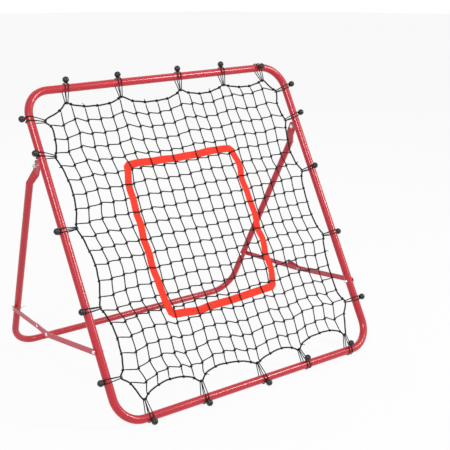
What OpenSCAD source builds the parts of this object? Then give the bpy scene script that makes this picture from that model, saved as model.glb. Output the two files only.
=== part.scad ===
// Pitch back rebounder: a square tube frame leans back on a folding U-shaped stand.
// A knotted net with a roped border hangs inside the frame on twenty ball bungees.
// Millimetres, +Z up, X along the frame, the net faces -Y.
// Origin: on the ground under the middle of the whole object.

/* [Frame] */
// Diameter of the frame tube
frame_d = 25; // [22:0.5:28]
// Wall of the frame and stand tubes
tube_wall = 1.2; // [1:0.1:1.6]
// Width of the frame between the axes of its side tubes
frame_w = 975; // [900:5:1050]
// Height of the frame between the axes of its top and bottom tubes, along its slope
frame_h = 1002; // [940:1:1060]
// Bend radius of the frame's corners, to the tube's axis
frame_bend = 80; // [60:1:100]
// Lean of the frame back from upright
lean = 29.5; // [25:0.5:33]
// Height of the lower side joints along the frame
lower_joint = 247; // [235:1:270]
// Length of each swaged plug
plug_len = 45; // [30:1:60]
// Radial clearance of a swaged plug in its socket
plug_fit = 0.08; // [0.05:0.01:0.1]
// Open seam between two joined tubes
seam = 0.4; // [0.2:0.1:0.8]

/* [Stand] */
// Diameter of the stand tube
leg_d = 22; // [19:0.5:24]
// Slope of the stand away from upright
stand_tilt = 25; // [22:0.5:28]
// Bend radius of the stand's corners, to the tube's axis
leg_bend = 85; // [70:1:100]
// Width of the flattened leg end
paddle_w = 32; // [28:0.5:32]
// Thickness of the flattened leg end
paddle_t = 4; // [3:0.25:5]
// Length of the flat below the hinge
paddle_len = 28; // [22:1:34]
// Length over which the leg swells from flat to round
swell_len = 34; // [26:1:44]
// Outward step from the flat end's middle plane to the tube's axis
leg_bow = 15; // [12:0.5:15]

/* [Hinge] */
// Height of the hinge along the frame
hinge_rise = 788; // [780:1:800]
// Distance of the upper side joints below the hinge
joint_drop = 29; // [26:1:50]
// Distance of the hinge behind the frame's plane
hinge_back = 29.5; // [29.5:0.25:32]
// Thickness of the hinge lug
lug_t = 3; // [2.5:0.25:4]
// Radius of the lug's round end
lug_r = 10; // [8:0.5:11]
// Diameter of the hinge bolt
hinge_bolt_d = 8; // [6:0.5:8]
// Thread left standing past the hinge nut
hinge_thread = 6; // [3:0.5:9]

/* [Braces] */
// Height of the front pivot along the frame
front_pivot = 219; // [210:1:225]
// Distance of the rear pivot down the leg from the hinge
rear_pivot = 575; // [570:1:580]
// Drop of the knee below the straight line of the pivots
knee_sag = 14; // [8:0.5:18]
// Width of the front bar
front_bar_w = 17; // [15:0.5:20]
// Width of the rear bar
rear_bar_w = 16; // [14:0.5:18]
// Thickness of both bars
bar_t = 2.5; // [2:0.25:3]
// Length of the front bar's tail past the knee
tail_len = 58; // [45:1:65]
// Diameter of the stop stud
stud_d = 6; // [5:0.5:7]
// Diameter of the knee rivet
rivet_d = 6; // [5:0.5:7]
// Diameter of the brace bolts
brace_bolt_d = 6; // [5:0.5:7]
// Thread left standing past the front brace nut
front_thread = 3; // [2:0.5:8]
// Thread left standing past the rear brace nut
rear_thread = 12; // [6:0.5:16]

/* [Fasteners] */
// Radial clearance of a bolt in its hole
bolt_fit = 0.05; // [0.02:0.01:0.1]
// Thickness of a washer
washer_t = 1.2; // [1:0.1:1.6]

/* [Net] */
// Thickness of the net cord
mesh_cord = 3; // [2.5:0.1:4]
// Number of meshes across
net_cols = 17; // [12:1:17]
// Number of meshes up
net_rows = 17; // [12:1:17]
// Thickness of the border rope
rope_d = 5.5; // [5:0.5:8]
// Distance of the border knots inside the side tubes' axes
side_inset = 44; // [40:1:60]
// Distance of the border knots below the top tube's axis
top_inset = 45; // [40:1:60]
// Distance of the border knots above the bottom tube's axis
bottom_inset = 50; // [42:1:65]
// Sag of a side scallop as a share of its span
side_sag = 0.09; // [0.04:0.01:0.12]
// Sag of a top scallop as a share of its span
top_sag = 0.115; // [0.05:0.01:0.14]
// Sag of a bottom scallop as a share of its span
bottom_sag = 0.145; // [0.05:0.01:0.16]

/* [Bungees] */
// Thickness of the elastic cord
cord_d = 3; // [2.5:0.1:3]
// Diameter of a bungee ball
ball_d = 20; // [18:0.5:22]
// Spread of a loop's two strands where they cross the tube
loop_spread = 11; // [9:0.5:13]
// Spread of a loop's two strands where they hold the rope
loop_pinch = 5; // [4:0.5:6]

/* [Target] */
// Width of the target ribbon's square, to the webbing's middle
target_w = 400; // [320:5:460]
// Height of the target ribbon's square, to the webbing's middle
target_h = 465; // [380:5:520]
// Sideways shift of the target from the frame's middle
target_shift = -20; // [-60:1:60]
// Height of the target's middle along the frame
target_rise = 503; // [450:1:550]
// Width of the ribbon
ribbon_w = 24; // [18:1:30]
// Thickness of the ribbon
ribbon_t = 1.2; // [0.8:0.1:2]

/* [Hidden] */
$fn = 48;
eps = 0.01;
// Clearance between still pieces, and between soft ones and their neighbours.
gap = 0.3;
// Face clearance of the bars at a pivot, which allows for their slight slant.
bar_gap = 0.9;
// Face clearance of the bars at the knee, where they slide past each other as they fold.
knee_gap = 2;
// Step between two stretches of one piece where one ends inside the other.
hair = 0.02;
// Depth of the flat that the ground presses into the bottom loops.
ground_flat = 0.5;

frame_r = frame_d / 2;
leg_r = leg_d / 2;
ball_r = ball_d / 2;
cord_r = cord_d / 2;
rope_r = rope_d / 2;
half_w = frame_w / 2;
upper_joint = hinge_rise - joint_drop;

// Ties along the tubes and their knots along the net's border, in percent of each side:
// from the middle for top and bottom, from the bottom axis for left and right.
top_ties = [-35.5, -16.5, 6.5, 24.5, 40.5];
top_knots = [-36.5, -17, 6, 24, 41];
bottom_ties = [-40, -20, 3, 21, 40];
bottom_knots = [-40, -19.5, 2.5, 20, 40.5];
left_ties = [13, 33.5, 57.5, 80.5, 91.5];
left_knots = [13, 33.5, 57.5, 79.5, 90.5];
right_ties = [15.5, 39, 62.5, 81.5, 92];
right_knots = [15.5, 39, 62, 80.5, 91];
// Turn of each ball round its tube, from the outside towards the front.
top_turns = [20, 15, 20, 20, 98];
bottom_turns = [50, 50, 50, 98, 98];
left_turns = [12, 30, 20, 30, 0];
right_turns = [35, 0, 98, 35, 35];
// Slide of each ball along its strands towards the net.
no_slides = [0, 0, 0, 0, 0];
bottom_slides = [0, 0, 0, 14, 14];

// Knots of one side as [x, z] points in the frame's plane.
function along_x(list, z) = [for (p = list) [p / 100 * frame_w, z]];
function along_z(list, x) = [for (p = list) [x, p / 100 * frame_h]];
top_tie_pts = along_x(top_ties, frame_h);
top_knot_pts = along_x(top_knots, frame_h - top_inset);
bottom_tie_pts = along_x(bottom_ties, 0);
bottom_knot_pts = along_x(bottom_knots, bottom_inset);
left_tie_pts = along_z(left_ties, -half_w);
left_knot_pts = along_z(left_knots, -half_w + side_inset);
right_tie_pts = along_z(right_ties, half_w);
right_knot_pts = along_z(right_knots, half_w - side_inset);

// One strand of a bungee runs round the tube's axis at its start and the rope at its end.
function aside(tie, knot) = let (d = (knot - tie) / norm(knot - tie)) [-d[1], d[0]];
function strand_start(tie, knot, tube_dir, s) =
    tie + s * loop_spread / 2 / (aside(tie, knot) * tube_dir) * tube_dir;
function strand_end(tie, knot, s) = knot + s * loop_pinch / 2 * aside(tie, knot);
function strand(tie, knot, tube_dir, s) =
    strand_end(tie, knot, s) - strand_start(tie, knot, tube_dir, s);

// Loop radii round the tube: the steepest strand of a side still clears its tube.
function tilt_of(v, tube_dir) = asin(abs(v * tube_dir) / norm(v));
function loop_r(ties, knots, tube_dir) =
    let (
        tilts = [
            for (i = [0 : len(ties) - 1])
                for (s = [-1, 1])
                    tilt_of(strand(ties[i], knots[i], tube_dir, s), tube_dir)
        ]
    )
    (frame_r + gap) / cos(max(tilts)) + cord_r;
top_loop_r = loop_r(top_tie_pts, top_knot_pts, [1, 0]);
bottom_loop_r = loop_r(bottom_tie_pts, bottom_knot_pts, [1, 0]);
left_loop_r = loop_r(left_tie_pts, left_knot_pts, [0, 1]);
right_loop_r = loop_r(right_tie_pts, right_knot_pts, [0, 1]);
rope_loop_r = rope_r + gap + cord_r;
function touch_angle(depth, tube_loop_r) = acos((tube_loop_r - rope_loop_r) / depth);

// A slanting bungee has one strand's bend further out than the other's, by twice this.
function bend_lead(tie, knot, tube_dir) =
    loop_spread / 2 * abs(((knot - tie) / norm(knot - tie)) * tube_dir)
        / abs(aside(tie, knot) * tube_dir);

// The ball rests on its strands: its place as [towards the knot, to the front].
function ball_place(tie, knot, tube_dir, turn, slide, tube_loop_r) =
    let (
        depth = norm(knot - tie),
        round = slide > 0 ? 180 - touch_angle(depth, tube_loop_r) : turn,
        inward = slide * sin(round) - tube_loop_r * cos(round),
        spread = loop_spread / 2 - inward * (loop_spread - loop_pinch) / 2 / depth,
        lift = sqrt(pow(ball_r + cord_r + gap, 2) - spread * spread),
        reach = tube_loop_r + lift + bend_lead(tie, knot, tube_dir) * abs(cos(round))
    )
    [slide * sin(round) - reach * cos(round), slide * cos(round) + reach * sin(round)];

// Places in the side view: y to the rear and z up, from the bottom tube's axis.
function on_frame(rise, back) = [
    rise * sin(lean) + back * cos(lean),
    rise * cos(lean) - back * sin(lean)
];
axis_z = bottom_loop_r + cord_r - ground_flat;
hinge_rel = on_frame(hinge_rise, hinge_back);
leg_len = (hinge_rel[1] + axis_z - leg_r) / cos(stand_tilt);
front_reaches = [
    for (i = [0 : len(bottom_turns) - 1])
        let (
            tie = bottom_tie_pts[i],
            knot = bottom_knot_pts[i],
            turn = bottom_turns[i],
            p = ball_place(tie, knot, [1, 0], turn, bottom_slides[i], bottom_loop_r),
            rise = p[0] * (knot - tie)[1] / norm(knot - tie)
        )
        p[1] * cos(lean) - rise * sin(lean) + ball_r
];
front_reach = max(front_reaches);
rear_reach = hinge_rel[0] + leg_len * sin(stand_tilt) + leg_r;
axis_y = (front_reach - rear_reach) / 2;

function to_ground(p) = [p[0] + axis_y, p[1] + axis_z];
hinge_p = to_ground(hinge_rel);
front_p = to_ground(on_frame(front_pivot, 0));
rear_p = hinge_p + rear_pivot * [sin(stand_tilt), -cos(stand_tilt)];
brace_span = norm(rear_p - front_p);
brace_dir = (rear_p - front_p) / brace_span;
knee_p = (front_p + rear_p) / 2 + knee_sag * [brace_dir[1], -brace_dir[0]];
bar_len = norm(knee_p - front_p);
function angle_of(v) = atan2(v[1], v[0]);
front_angle = angle_of(knee_p - front_p);
rear_angle = angle_of(knee_p - rear_p);

// Sideways places on the right-hand side, from the middle outwards.
plug_r = frame_r - tube_wall - plug_fit;
leg_plug_r = leg_r - tube_wall - plug_fit;
lug_out = half_w + lug_t / 2;
paddle_in = lug_out + gap;
paddle_mid = paddle_in + paddle_t / 2;
leg_top_x = paddle_mid + leg_bow;
// Inward slope of each leg: its sine and cosine are exact decimals, 0.07584 and 0.99712.
leg_toe = asin(237 / 3125);
leg_top_t = paddle_len + swell_len;
function leg_x(t) = leg_top_x - (t - leg_top_t) * tan(leg_toe);
leg_corner_x = leg_x(leg_len);
leg_turn = 90 - leg_toe;
leg_tangent = leg_bend * tan(leg_turn / 2);
hinge_bolt_r = hinge_bolt_d / 2 - bolt_fit;
hinge_head_in = half_w - lug_t / 2 - gap;
hinge_washer_in = paddle_in + paddle_t + gap;
hinge_nut_in = hinge_washer_in + washer_t + gap;
hinge_nut_t = hinge_bolt_d * 0.8;

brace_bolt_r = brace_bolt_d / 2 - bolt_fit;
brace_nut_t = brace_bolt_d * 0.8;
brace_head_t = 4;
front_bar_in = half_w + frame_r + gap * 2;
rear_leg_x = leg_x(rear_pivot);
rear_washer_in = rear_leg_x + leg_r / cos(leg_toe) + gap * 2;
rear_bar_in = rear_washer_in + washer_t + bar_gap;
// At the knee the rear bar clears the leg, and the front bar lies outside it.
cap_t = 1.5;
knee_leg_out = leg_x(rear_pivot - bar_len) + leg_r / cos(leg_toe);
rear_knee_in = knee_leg_out + cap_t + bar_gap;
front_knee_in = rear_knee_in + bar_t + knee_gap;
rear_slant = atan2(rear_knee_in - rear_bar_in, bar_len);
front_slant = atan2(front_knee_in - front_bar_in, bar_len);
// The stud rests on the upper edge of the rear bar.
stud_up = rear_bar_w / 2 + stud_d / 2 + gap;
stud_reach = sqrt(tail_len * tail_len - stud_up * stud_up);
lap_turn = rear_angle - 180 - front_angle;
tail_turn = lap_turn + atan2(stud_up, stud_reach);
stud_in = rear_bar_in + (bar_len - stud_reach) * tan(rear_slant) + bar_t / 2;

// ---------- placing ----------

// The frame's own plane: X sideways, Y to the rear, Z up its slope.
module in_frame() {
    translate([0, axis_y, axis_z])
        rotate([-lean, 0, 0])
            children();
}

// The stand's own plane: the origin at the hinge, -Z down the legs.
module in_stand() {
    translate([0, hinge_p[0], hinge_p[1]])
        rotate([stand_tilt, 0, 0])
            children();
}

// The right-hand piece, or its mirror image on the left.
module on_side(side) {
    if (side > 0)
        children();
    else
        mirror([1, 0, 0])
            children();
}

// From a drawing in X and Y to the side view, with its thickness outwards.
module side_view() {
    rotate([90, 0, 90])
        children();
}

// A cylinder along +X from a start to an end.
module x_rod(r, from, to) {
    translate([from, 0, 0])
        rotate([0, 90, 0])
            cylinder(r = r, h = to - from);
}

// ---------- tubes ----------

module ring(outer_r) {
    difference() {
        circle(r = outer_r);
        circle(r = outer_r - tube_wall);
    }
}

// A straight tube up +Z.
module tube(r, length) {
    linear_extrude(length)
        ring(r);
}

// A tube bend in the X-Z plane, from one angle of its circle through a turn.
module bend(r, bend_r, from, turn) {
    rotate([90, 0, 0])
        rotate([0, 0, from])
            rotate_extrude(angle = turn)
                translate([bend_r, 0])
                    ring(r);
}

// A swaged end: a short shoulder inside the tube and the plug that stands out along -Z.
module plug(tube_r, swaged_r) {
    shoulder = 4;
    translate([0, 0, -plug_len])
        difference() {
            union() {
                cylinder(r = swaged_r, h = plug_len + seam);
                translate([0, 0, plug_len])
                    cylinder(r = tube_r - tube_wall / 2, h = shoulder);
            }
            translate([0, 0, -1])
                cylinder(r = swaged_r - tube_wall, h = plug_len + shoulder + 2);
        }
}

// ---------- frame ----------

// The tab that carries the hinge bolt, welded behind the side tube.
module hinge_lug() {
    root = frame_r - tube_wall / 2;
    translate([half_w - lug_t / 2, 0, hinge_rise])
        side_view()
            linear_extrude(lug_t)
                union() {
                    translate([hinge_back, 0])
                        circle(r = lug_r);
                    polygon([
                        [root, -2.2 * lug_r],
                        [hinge_back, -lug_r],
                        [hinge_back, lug_r],
                        [root, lug_r * 0.8]
                    ]);
                }
}

module upper_corner(side, plugged) {
    top_run = half_w - frame_bend - seam / 2;
    side_foot = upper_joint + seam / 2;
    in_frame()
        on_side(side)
            difference() {
                union() {
                    translate([seam / 2, 0, frame_h])
                        rotate([0, 90, 0])
                            tube(frame_r, top_run);
                    translate([half_w - frame_bend, 0, frame_h - frame_bend])
                        bend(frame_r, frame_bend, 0, 90);
                    translate([half_w, 0, side_foot])
                        tube(frame_r, frame_h - frame_bend - side_foot);
                    translate([half_w, 0, side_foot])
                        plug(frame_r, plug_r);
                    if (plugged)
                        translate([seam / 2, 0, frame_h])
                            rotate([0, 90, 0])
                                plug(frame_r, plug_r);
                    hinge_lug();
                }
                translate([0, hinge_back, hinge_rise])
                    x_rod(hinge_bolt_r + bolt_fit, half_w - lug_t, half_w + lug_t);
            }
}

module left_upper_corner() {
    color("#c8323f")
        upper_corner(-1, true);
}

module right_upper_corner() {
    color("#c8323f")
        upper_corner(1, false);
}

module side_tube(side) {
    in_frame()
        translate([side * half_w, 0, lower_joint + seam / 2])
            tube(frame_r, upper_joint - lower_joint - seam);
}

module left_side_tube() {
    color("#c8323f")
        side_tube(-1);
}

module right_side_tube() {
    color("#c8323f")
        side_tube(1);
}

module lower_corner(side, plugged) {
    side_top = lower_joint - seam / 2;
    in_frame()
        on_side(side)
            difference() {
                union() {
                    translate([seam / 2, 0, 0])
                        rotate([0, 90, 0])
                            tube(frame_r, half_w - frame_bend - seam / 2);
                    translate([half_w - frame_bend, 0, frame_bend])
                        bend(frame_r, frame_bend, -90, 90);
                    translate([half_w, 0, frame_bend])
                        tube(frame_r, side_top - frame_bend);
                    translate([half_w, 0, side_top])
                        rotate([180, 0, 0])
                            plug(frame_r, plug_r);
                    if (plugged)
                        translate([seam / 2, 0, 0])
                            rotate([0, 90, 0])
                                plug(frame_r, plug_r);
                }
                translate([0, 0, front_pivot])
                    x_rod(brace_bolt_r + bolt_fit, half_w - frame_d, half_w + frame_d);
            }
}

module left_lower_corner() {
    color("#c8323f")
        lower_corner(-1, true);
}

module right_lower_corner() {
    color("#c8323f")
        lower_corner(1, false);
}

// ---------- net ----------

// Each side's border chain runs between two corners of the net, through its five knots.
function mid(a, b) = (a + b) / 2;
function last(list) = list[len(list) - 1];
// The mesh begins past the loops at the knots and close to the rope between them.
loop_off = rope_loop_r + cord_r + gap;
rope_off = rope_r + mesh_cord / 4 + gap;
corner_off = loop_pinch / 2 + cord_r + gap * 2;
function shift_ends(list, in_dir, along) = [
    for (i = [0 : len(list) - 1])
        list[i] + loop_off * in_dir
            + corner_off * along * (i == 0 ? 1 : i == len(list) - 1 ? -1 : 0)
];
left_in = shift_ends(left_knot_pts, [1, 0], [0, 1]);
right_in = shift_ends(right_knot_pts, [-1, 0], [0, 1]);
bottom_in = shift_ends(bottom_knot_pts, [0, 1], [1, 0]);
top_in = shift_ends(top_knot_pts, [0, -1], [1, 0]);
corner_bl = mid(left_in[0], bottom_in[0]);
corner_br = mid(right_in[0], last(bottom_in));
corner_tl = mid(last(left_in), top_in[0]);
corner_tr = mid(last(right_in), last(top_in));
left_chain = concat([corner_bl], left_in, [corner_tl]);
right_chain = concat([corner_br], right_in, [corner_tr]);
bottom_chain = concat([corner_bl], bottom_in, [corner_br]);
top_chain = concat([corner_tl], top_in, [corner_tr]);

// The point of a chain at a share of its length along one axis; inner spans sag inwards.
function span_at(chain, axis, value, i = 0) =
    (i >= len(chain) - 2 || value <= chain[i + 1][axis]) ? i : span_at(chain, axis, value, i + 1);
function chain_point(chain, axis, share, sag, inward) =
    let (
        value = chain[0][axis] + share * (last(chain)[axis] - chain[0][axis]),
        i = span_at(chain, axis, value),
        a = chain[i],
        b = chain[i + 1],
        t = (value - a[axis]) / (b[axis] - a[axis]),
        inner = i > 0 && i < len(chain) - 2,
        bow = inner ? (sag * norm(b - a) - loop_off + rope_off) * 4 * t * (1 - t) : 0
    )
    a + t * (b - a) + bow * inward;

function bottom_edge(u) = chain_point(bottom_chain, 0, u, bottom_sag, [0, 1]);
function top_edge(u) = chain_point(top_chain, 0, u, top_sag, [0, -1]);
function left_edge(v) = chain_point(left_chain, 1, v, side_sag, [1, 0]);
function right_edge(v) = chain_point(right_chain, 1, v, side_sag, [-1, 0]);

// The net's surface: straight between the corners, with the edges' waves dying out inwards.
wave_fade = 2.5;
function blend(a, b, t) = a * (1 - t) + b * t;
function net_point(u, v) =
    blend(blend(corner_bl, corner_br, u), blend(corner_tl, corner_tr, u), v)
    + (bottom_edge(u) - blend(corner_bl, corner_br, u)) * pow(1 - v, wave_fade)
    + (top_edge(u) - blend(corner_tl, corner_tr, u)) * pow(v, wave_fade)
    + (left_edge(v) - blend(corner_bl, corner_tl, v)) * pow(1 - u, wave_fade)
    + (right_edge(v) - blend(corner_br, corner_tr, v)) * pow(u, wave_fade);

net_pitch = (frame_w - 2 * side_inset) / net_cols;
cord_share = mesh_cord / 2 / net_pitch;
knot_share = 2.2 / net_pitch;

// One mesh's opening: its corners are cut off where the knots thicken the cords,
// and an edge that lies along the border follows its curve.
function edge_steps(on_border) = on_border ? [0, 0.25, 0.5, 0.75, 1] : [0, 1];
function opening(i, j) =
    let (
        u0 = (i + cord_share * (i == 0 ? 2 : 1)) / net_cols,
        u1 = (i + 1 - cord_share * (i == net_cols - 1 ? 2 : 1)) / net_cols,
        v0 = (j + cord_share * (j == 0 ? 2 : 1)) / net_rows,
        v1 = (j + 1 - cord_share * (j == net_rows - 1 ? 2 : 1)) / net_rows,
        du = knot_share / net_cols,
        dv = knot_share / net_rows,
        across = u1 - u0 - 2 * du,
        up = v1 - v0 - 2 * dv
    )
    concat(
        [for (s = edge_steps(j == 0)) net_point(u0 + du + s * across, v0)],
        [for (s = edge_steps(i == net_cols - 1)) net_point(u1, v0 + dv + s * up)],
        [for (s = edge_steps(j == net_rows - 1)) net_point(u1 - du - s * across, v1)],
        [for (s = edge_steps(i == 0)) net_point(u0, v1 - dv - s * up)]
    );

// Points along the whole outline for each mesh.
rim = 4;
net_outline = concat(
    [for (i = [0 : rim * net_cols - 1]) net_point(i / rim / net_cols, 0)],
    [for (j = [0 : rim * net_rows - 1]) net_point(1, j / rim / net_rows)],
    [for (i = [rim * net_cols : -1 : 1]) net_point(i / rim / net_cols, 1)],
    [for (j = [rim * net_rows : -1 : 1]) net_point(0, j / rim / net_rows)]
);

// A flat drawing in the frame's plane, between two depths behind it.
module frame_sheet(front, rear) {
    in_frame()
        translate([0, rear, 0])
            rotate([90, 0, 0])
                linear_extrude(rear - front)
                    children();
}

module net() {
    color("#232326")
        frame_sheet(-mesh_cord / 2, mesh_cord / 2)
            difference() {
                polygon(net_outline);
                for (i = [0 : net_cols - 1])
                    for (j = [0 : net_rows - 1])
                        polygon(opening(i, j));
            }
}

// The border rope runs straight for a moment in each loop and sags between them.
hold = loop_pinch / 2 + cord_r + 1;
function flat_dir(tie, knot, ahead) =
    let (d = (knot - tie) / norm(knot - tie), side = [-d[1], d[0]])
    side * ahead > 0 ? side : -side;
function held(ties, knots, ahead) = [
    for (i = [0 : len(ties) - 1])
        let (w = flat_dir(ties[i], knots[i], ahead))
        [knots[i] - hold * w, knots[i] + hold * w]
];
function reversed(list) = [for (i = [len(list) - 1 : -1 : 0]) list[i]];
border_held = concat(
    held(bottom_tie_pts, bottom_knot_pts, [1, 0]),
    held(right_tie_pts, right_knot_pts, [0, 1]),
    held(reversed(top_tie_pts), reversed(top_knot_pts), [-1, 0]),
    held(reversed(left_tie_pts), reversed(left_knot_pts), [0, -1])
);
ties_per_side = len(top_ties);
side_sags = [bottom_sag, side_sag, top_sag, side_sag];
side_inward = [[0, 1], [-1, 0], [0, -1], [1, 0]];
scallop_steps = 5;
corner_steps = 2;
function scallop(k) =
    let (
        a = border_held[k][1],
        b = border_held[(k + 1) % len(border_held)][0],
        side = floor(k / ties_per_side),
        corner = k % ties_per_side == ties_per_side - 1,
        steps = corner ? corner_steps : scallop_steps,
        sag = corner ? 0 : side_sags[side] * norm(b - a)
    )
    [
        for (s = [0 : steps - 1])
            let (t = s / steps)
            a + t * (b - a) + sag * 4 * t * (1 - t) * side_inward[side]
    ];
rope_path = [
    for (k = [0 : len(border_held) - 1])
        each concat([border_held[k][0]], scallop(k))
];

// A closed round tube along points of a plane; faces are triangles.
rope_sides = 8;
module closed_rope(path, r) {
    n = len(path);
    rings = [
        for (i = [0 : n - 1])
            let (
                before = path[(i + n - 1) % n],
                after = path[(i + 1) % n],
                d = (after - before) / norm(after - before)
            )
            for (k = [0 : rope_sides - 1])
                let (a = 360 * k / rope_sides)
                [
                    path[i][0] - d[1] * r * cos(a),
                    r * sin(a),
                    path[i][1] + d[0] * r * cos(a)
                ]
    ];
    faces = [
        for (i = [0 : n - 1])
            for (k = [0 : rope_sides - 1])
                let (
                    a = i * rope_sides + k,
                    b = i * rope_sides + (k + 1) % rope_sides,
                    c = ((i + 1) % n) * rope_sides + (k + 1) % rope_sides,
                    e = ((i + 1) % n) * rope_sides + k
                )
                each [[a, b, c], [a, c, e]]
    ];
    polyhedron(points = rings, faces = faces);
}

module border_rope() {
    color("#1e1e21")
        in_frame()
            closed_rope(rope_path, rope_r);
}

module target_ribbon() {
    front = -mesh_cord / 2 - gap;
    color("#ff4b32")
        frame_sheet(front - ribbon_t, front)
            translate([target_shift, target_rise])
                difference() {
                    cut_square(target_w + ribbon_w, target_h + ribbon_w, ribbon_w);
                    cut_square(target_w - ribbon_w, target_h - ribbon_w, ribbon_w / 2);
                }
}

// A rectangle round the origin with its four corners cut at 45 degrees.
module cut_square(w, h, cut) {
    x = w / 2;
    z = h / 2;
    polygon([
        [cut - x, -z], [x - cut, -z], [x, cut - z], [x, z - cut],
        [x - cut, z], [cut - x, z], [-x, z - cut], [-x, cut - z]
    ]);
}

// ---------- bungees ----------

// One elastic strand: a belt round the tube at the origin and the rope at +X.
module belt(depth, tube_loop_r) {
    touch = touch_angle(depth, tube_loop_r);
    straight = depth * sin(touch);
    // The straight runs are a hair thinner and end inside the arcs: a strand is one piece.
    lap = 0.3;
    rotate([0, 0, touch])
        rotate_extrude(angle = 360 - 2 * touch)
            translate([tube_loop_r, 0])
                circle(r = cord_r, $fn = 24);
    translate([depth, 0, 0])
        rotate([0, 0, -touch])
            rotate_extrude(angle = 2 * touch)
                translate([rope_loop_r, 0])
                    circle(r = cord_r, $fn = 24);
    rotate([0, 0, touch])
        translate([tube_loop_r, 0, 0])
            rotate([90, 0, 0])
                translate([0, 0, -lap])
                    cylinder(r = cord_r - hair, h = straight + 2 * lap, $fn = 24);
    rotate([0, 0, -touch])
        translate([tube_loop_r, 0, 0])
            rotate([-90, 0, 0])
                translate([0, 0, -lap])
                    cylinder(r = cord_r - hair, h = straight + 2 * lap, $fn = 24);
}

// The frame's plane turned so that +X points from a tie to its knot and +Z to the front.
module at_tie(tie, knot) {
    translate([tie[0], 0, tie[1]])
        rotate([90, 0, 0])
            rotate([0, 0, angle_of(knot - tie)])
                children();
}

// Both strands of one bungee, drawn together at the rope.
module bungee(tie, knot, tube_dir, tube_loop_r) {
    for (s = [-1, 1])
        at_tie(strand_start(tie, knot, tube_dir, s), strand_end(tie, knot, s))
            rotate([90, 0, 0])
                belt(norm(strand(tie, knot, tube_dir, s)), tube_loop_r);
}

module ball(tie, knot, tube_dir, turn, slide, tube_loop_r) {
    place = ball_place(tie, knot, tube_dir, turn, slide, tube_loop_r);
    at_tie(tie, knot)
        translate([place[0], 0, place[1]])
            sphere(r = ball_r);
}

module bungees(ties, knots, tube_dir, tube_loop_r) {
    in_frame()
        for (i = [0 : len(ties) - 1])
            bungee(ties[i], knots[i], tube_dir, tube_loop_r);
}

module balls(ties, knots, tube_dir, turns, slides, tube_loop_r) {
    in_frame()
        for (i = [0 : len(ties) - 1])
            ball(ties[i], knots[i], tube_dir, turns[i], slides[i], tube_loop_r);
}

module top_bungees() {
    color("#232326")
        bungees(top_tie_pts, top_knot_pts, [1, 0], top_loop_r);
}

// The frame stands on these loops, so the ground presses them flat.
module bottom_bungees() {
    color("#232326")
        difference() {
            bungees(bottom_tie_pts, bottom_knot_pts, [1, 0], bottom_loop_r);
            translate([-half_w, axis_y - frame_d * 2, -frame_d])
                cube([frame_w, frame_d * 4, frame_d]);
        }
}

module left_bungees() {
    color("#232326")
        bungees(left_tie_pts, left_knot_pts, [0, 1], left_loop_r);
}

module right_bungees() {
    color("#232326")
        bungees(right_tie_pts, right_knot_pts, [0, 1], right_loop_r);
}

module top_balls() {
    color("#161618")
        balls(top_tie_pts, top_knot_pts, [1, 0], top_turns, no_slides, top_loop_r);
}

module bottom_balls() {
    color("#161618")
        balls(bottom_tie_pts, bottom_knot_pts, [1, 0], bottom_turns, bottom_slides, bottom_loop_r);
}

module left_balls() {
    color("#161618")
        balls(left_tie_pts, left_knot_pts, [0, 1], left_turns, no_slides, left_loop_r);
}

module right_balls() {
    color("#161618")
        balls(right_tie_pts, right_knot_pts, [0, 1], right_turns, no_slides, right_loop_r);
}

// ---------- fasteners ----------

// A domed bolt head on the X axis: flat side at a place, dome towards +X or -X.
module dome_head(r, height, at, way) {
    dome_r = (r * r + height * height) / (2 * height);
    translate([at, 0, 0])
        rotate([0, way * 90, 0])
            intersection() {
                cylinder(r = r, h = height + 1);
                translate([0, 0, height - dome_r])
                    sphere(r = dome_r);
            }
}

// A hexagon nut on the X axis.
module nut(bolt_r, thick, at) {
    difference() {
        translate([at, 0, 0])
            rotate([0, 90, 0])
                cylinder(r = bolt_r * 1.9, h = thick, $fn = 6);
        x_rod(bolt_r + bolt_fit, at - 1, at + thick + 1);
    }
}

module washer(bolt_r, at) {
    difference() {
        x_rod(bolt_r * 1.9, at, at + washer_t);
        x_rod(bolt_r + bolt_fit, at - 1, at + washer_t + 1);
    }
}

module at_hinge(side) {
    in_frame()
        on_side(side)
            translate([0, hinge_back, hinge_rise])
                children();
}

module at_front_pivot(side) {
    in_frame()
        on_side(side)
            translate([0, 0, front_pivot])
                children();
}

module at_rear_pivot(side) {
    in_stand()
        on_side(side)
            translate([0, 0, -rear_pivot])
                children();
}

module hinge_bolts() {
    head_t = 5;
    tip = hinge_nut_in + hinge_nut_t + hinge_thread;
    color("#d8dade")
        for (side = [-1, 1])
            at_hinge(side)
                union() {
                    dome_head(hinge_bolt_r * 1.8, head_t, hinge_head_in, -1);
                    x_rod(hinge_bolt_r, hinge_head_in - eps, tip);
                }
}

module hinge_washers() {
    color("#d8dade")
        for (side = [-1, 1])
            at_hinge(side)
                washer(hinge_bolt_r, hinge_washer_in);
}

module hinge_nuts() {
    color("#d8dade")
        for (side = [-1, 1])
            at_hinge(side)
                nut(hinge_bolt_r, hinge_nut_t, hinge_nut_in);
}

// The nut sits against the inner side of the frame tube.
front_nut_at = half_w - frame_r - gap - brace_nut_t;
module front_brace_bolts() {
    head_at = front_bar_in + bar_t + gap * 2;
    color("#d8dade")
        for (side = [-1, 1])
            at_front_pivot(side)
                union() {
                    dome_head(brace_bolt_r * 2, brace_head_t, head_at, 1);
                    x_rod(brace_bolt_r, front_nut_at - front_thread, head_at + eps);
                }
}

module front_brace_nuts() {
    color("#d8dade")
        for (side = [-1, 1])
            at_front_pivot(side)
                nut(brace_bolt_r, brace_nut_t, front_nut_at);
}

// ---------- stand ----------

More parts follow.
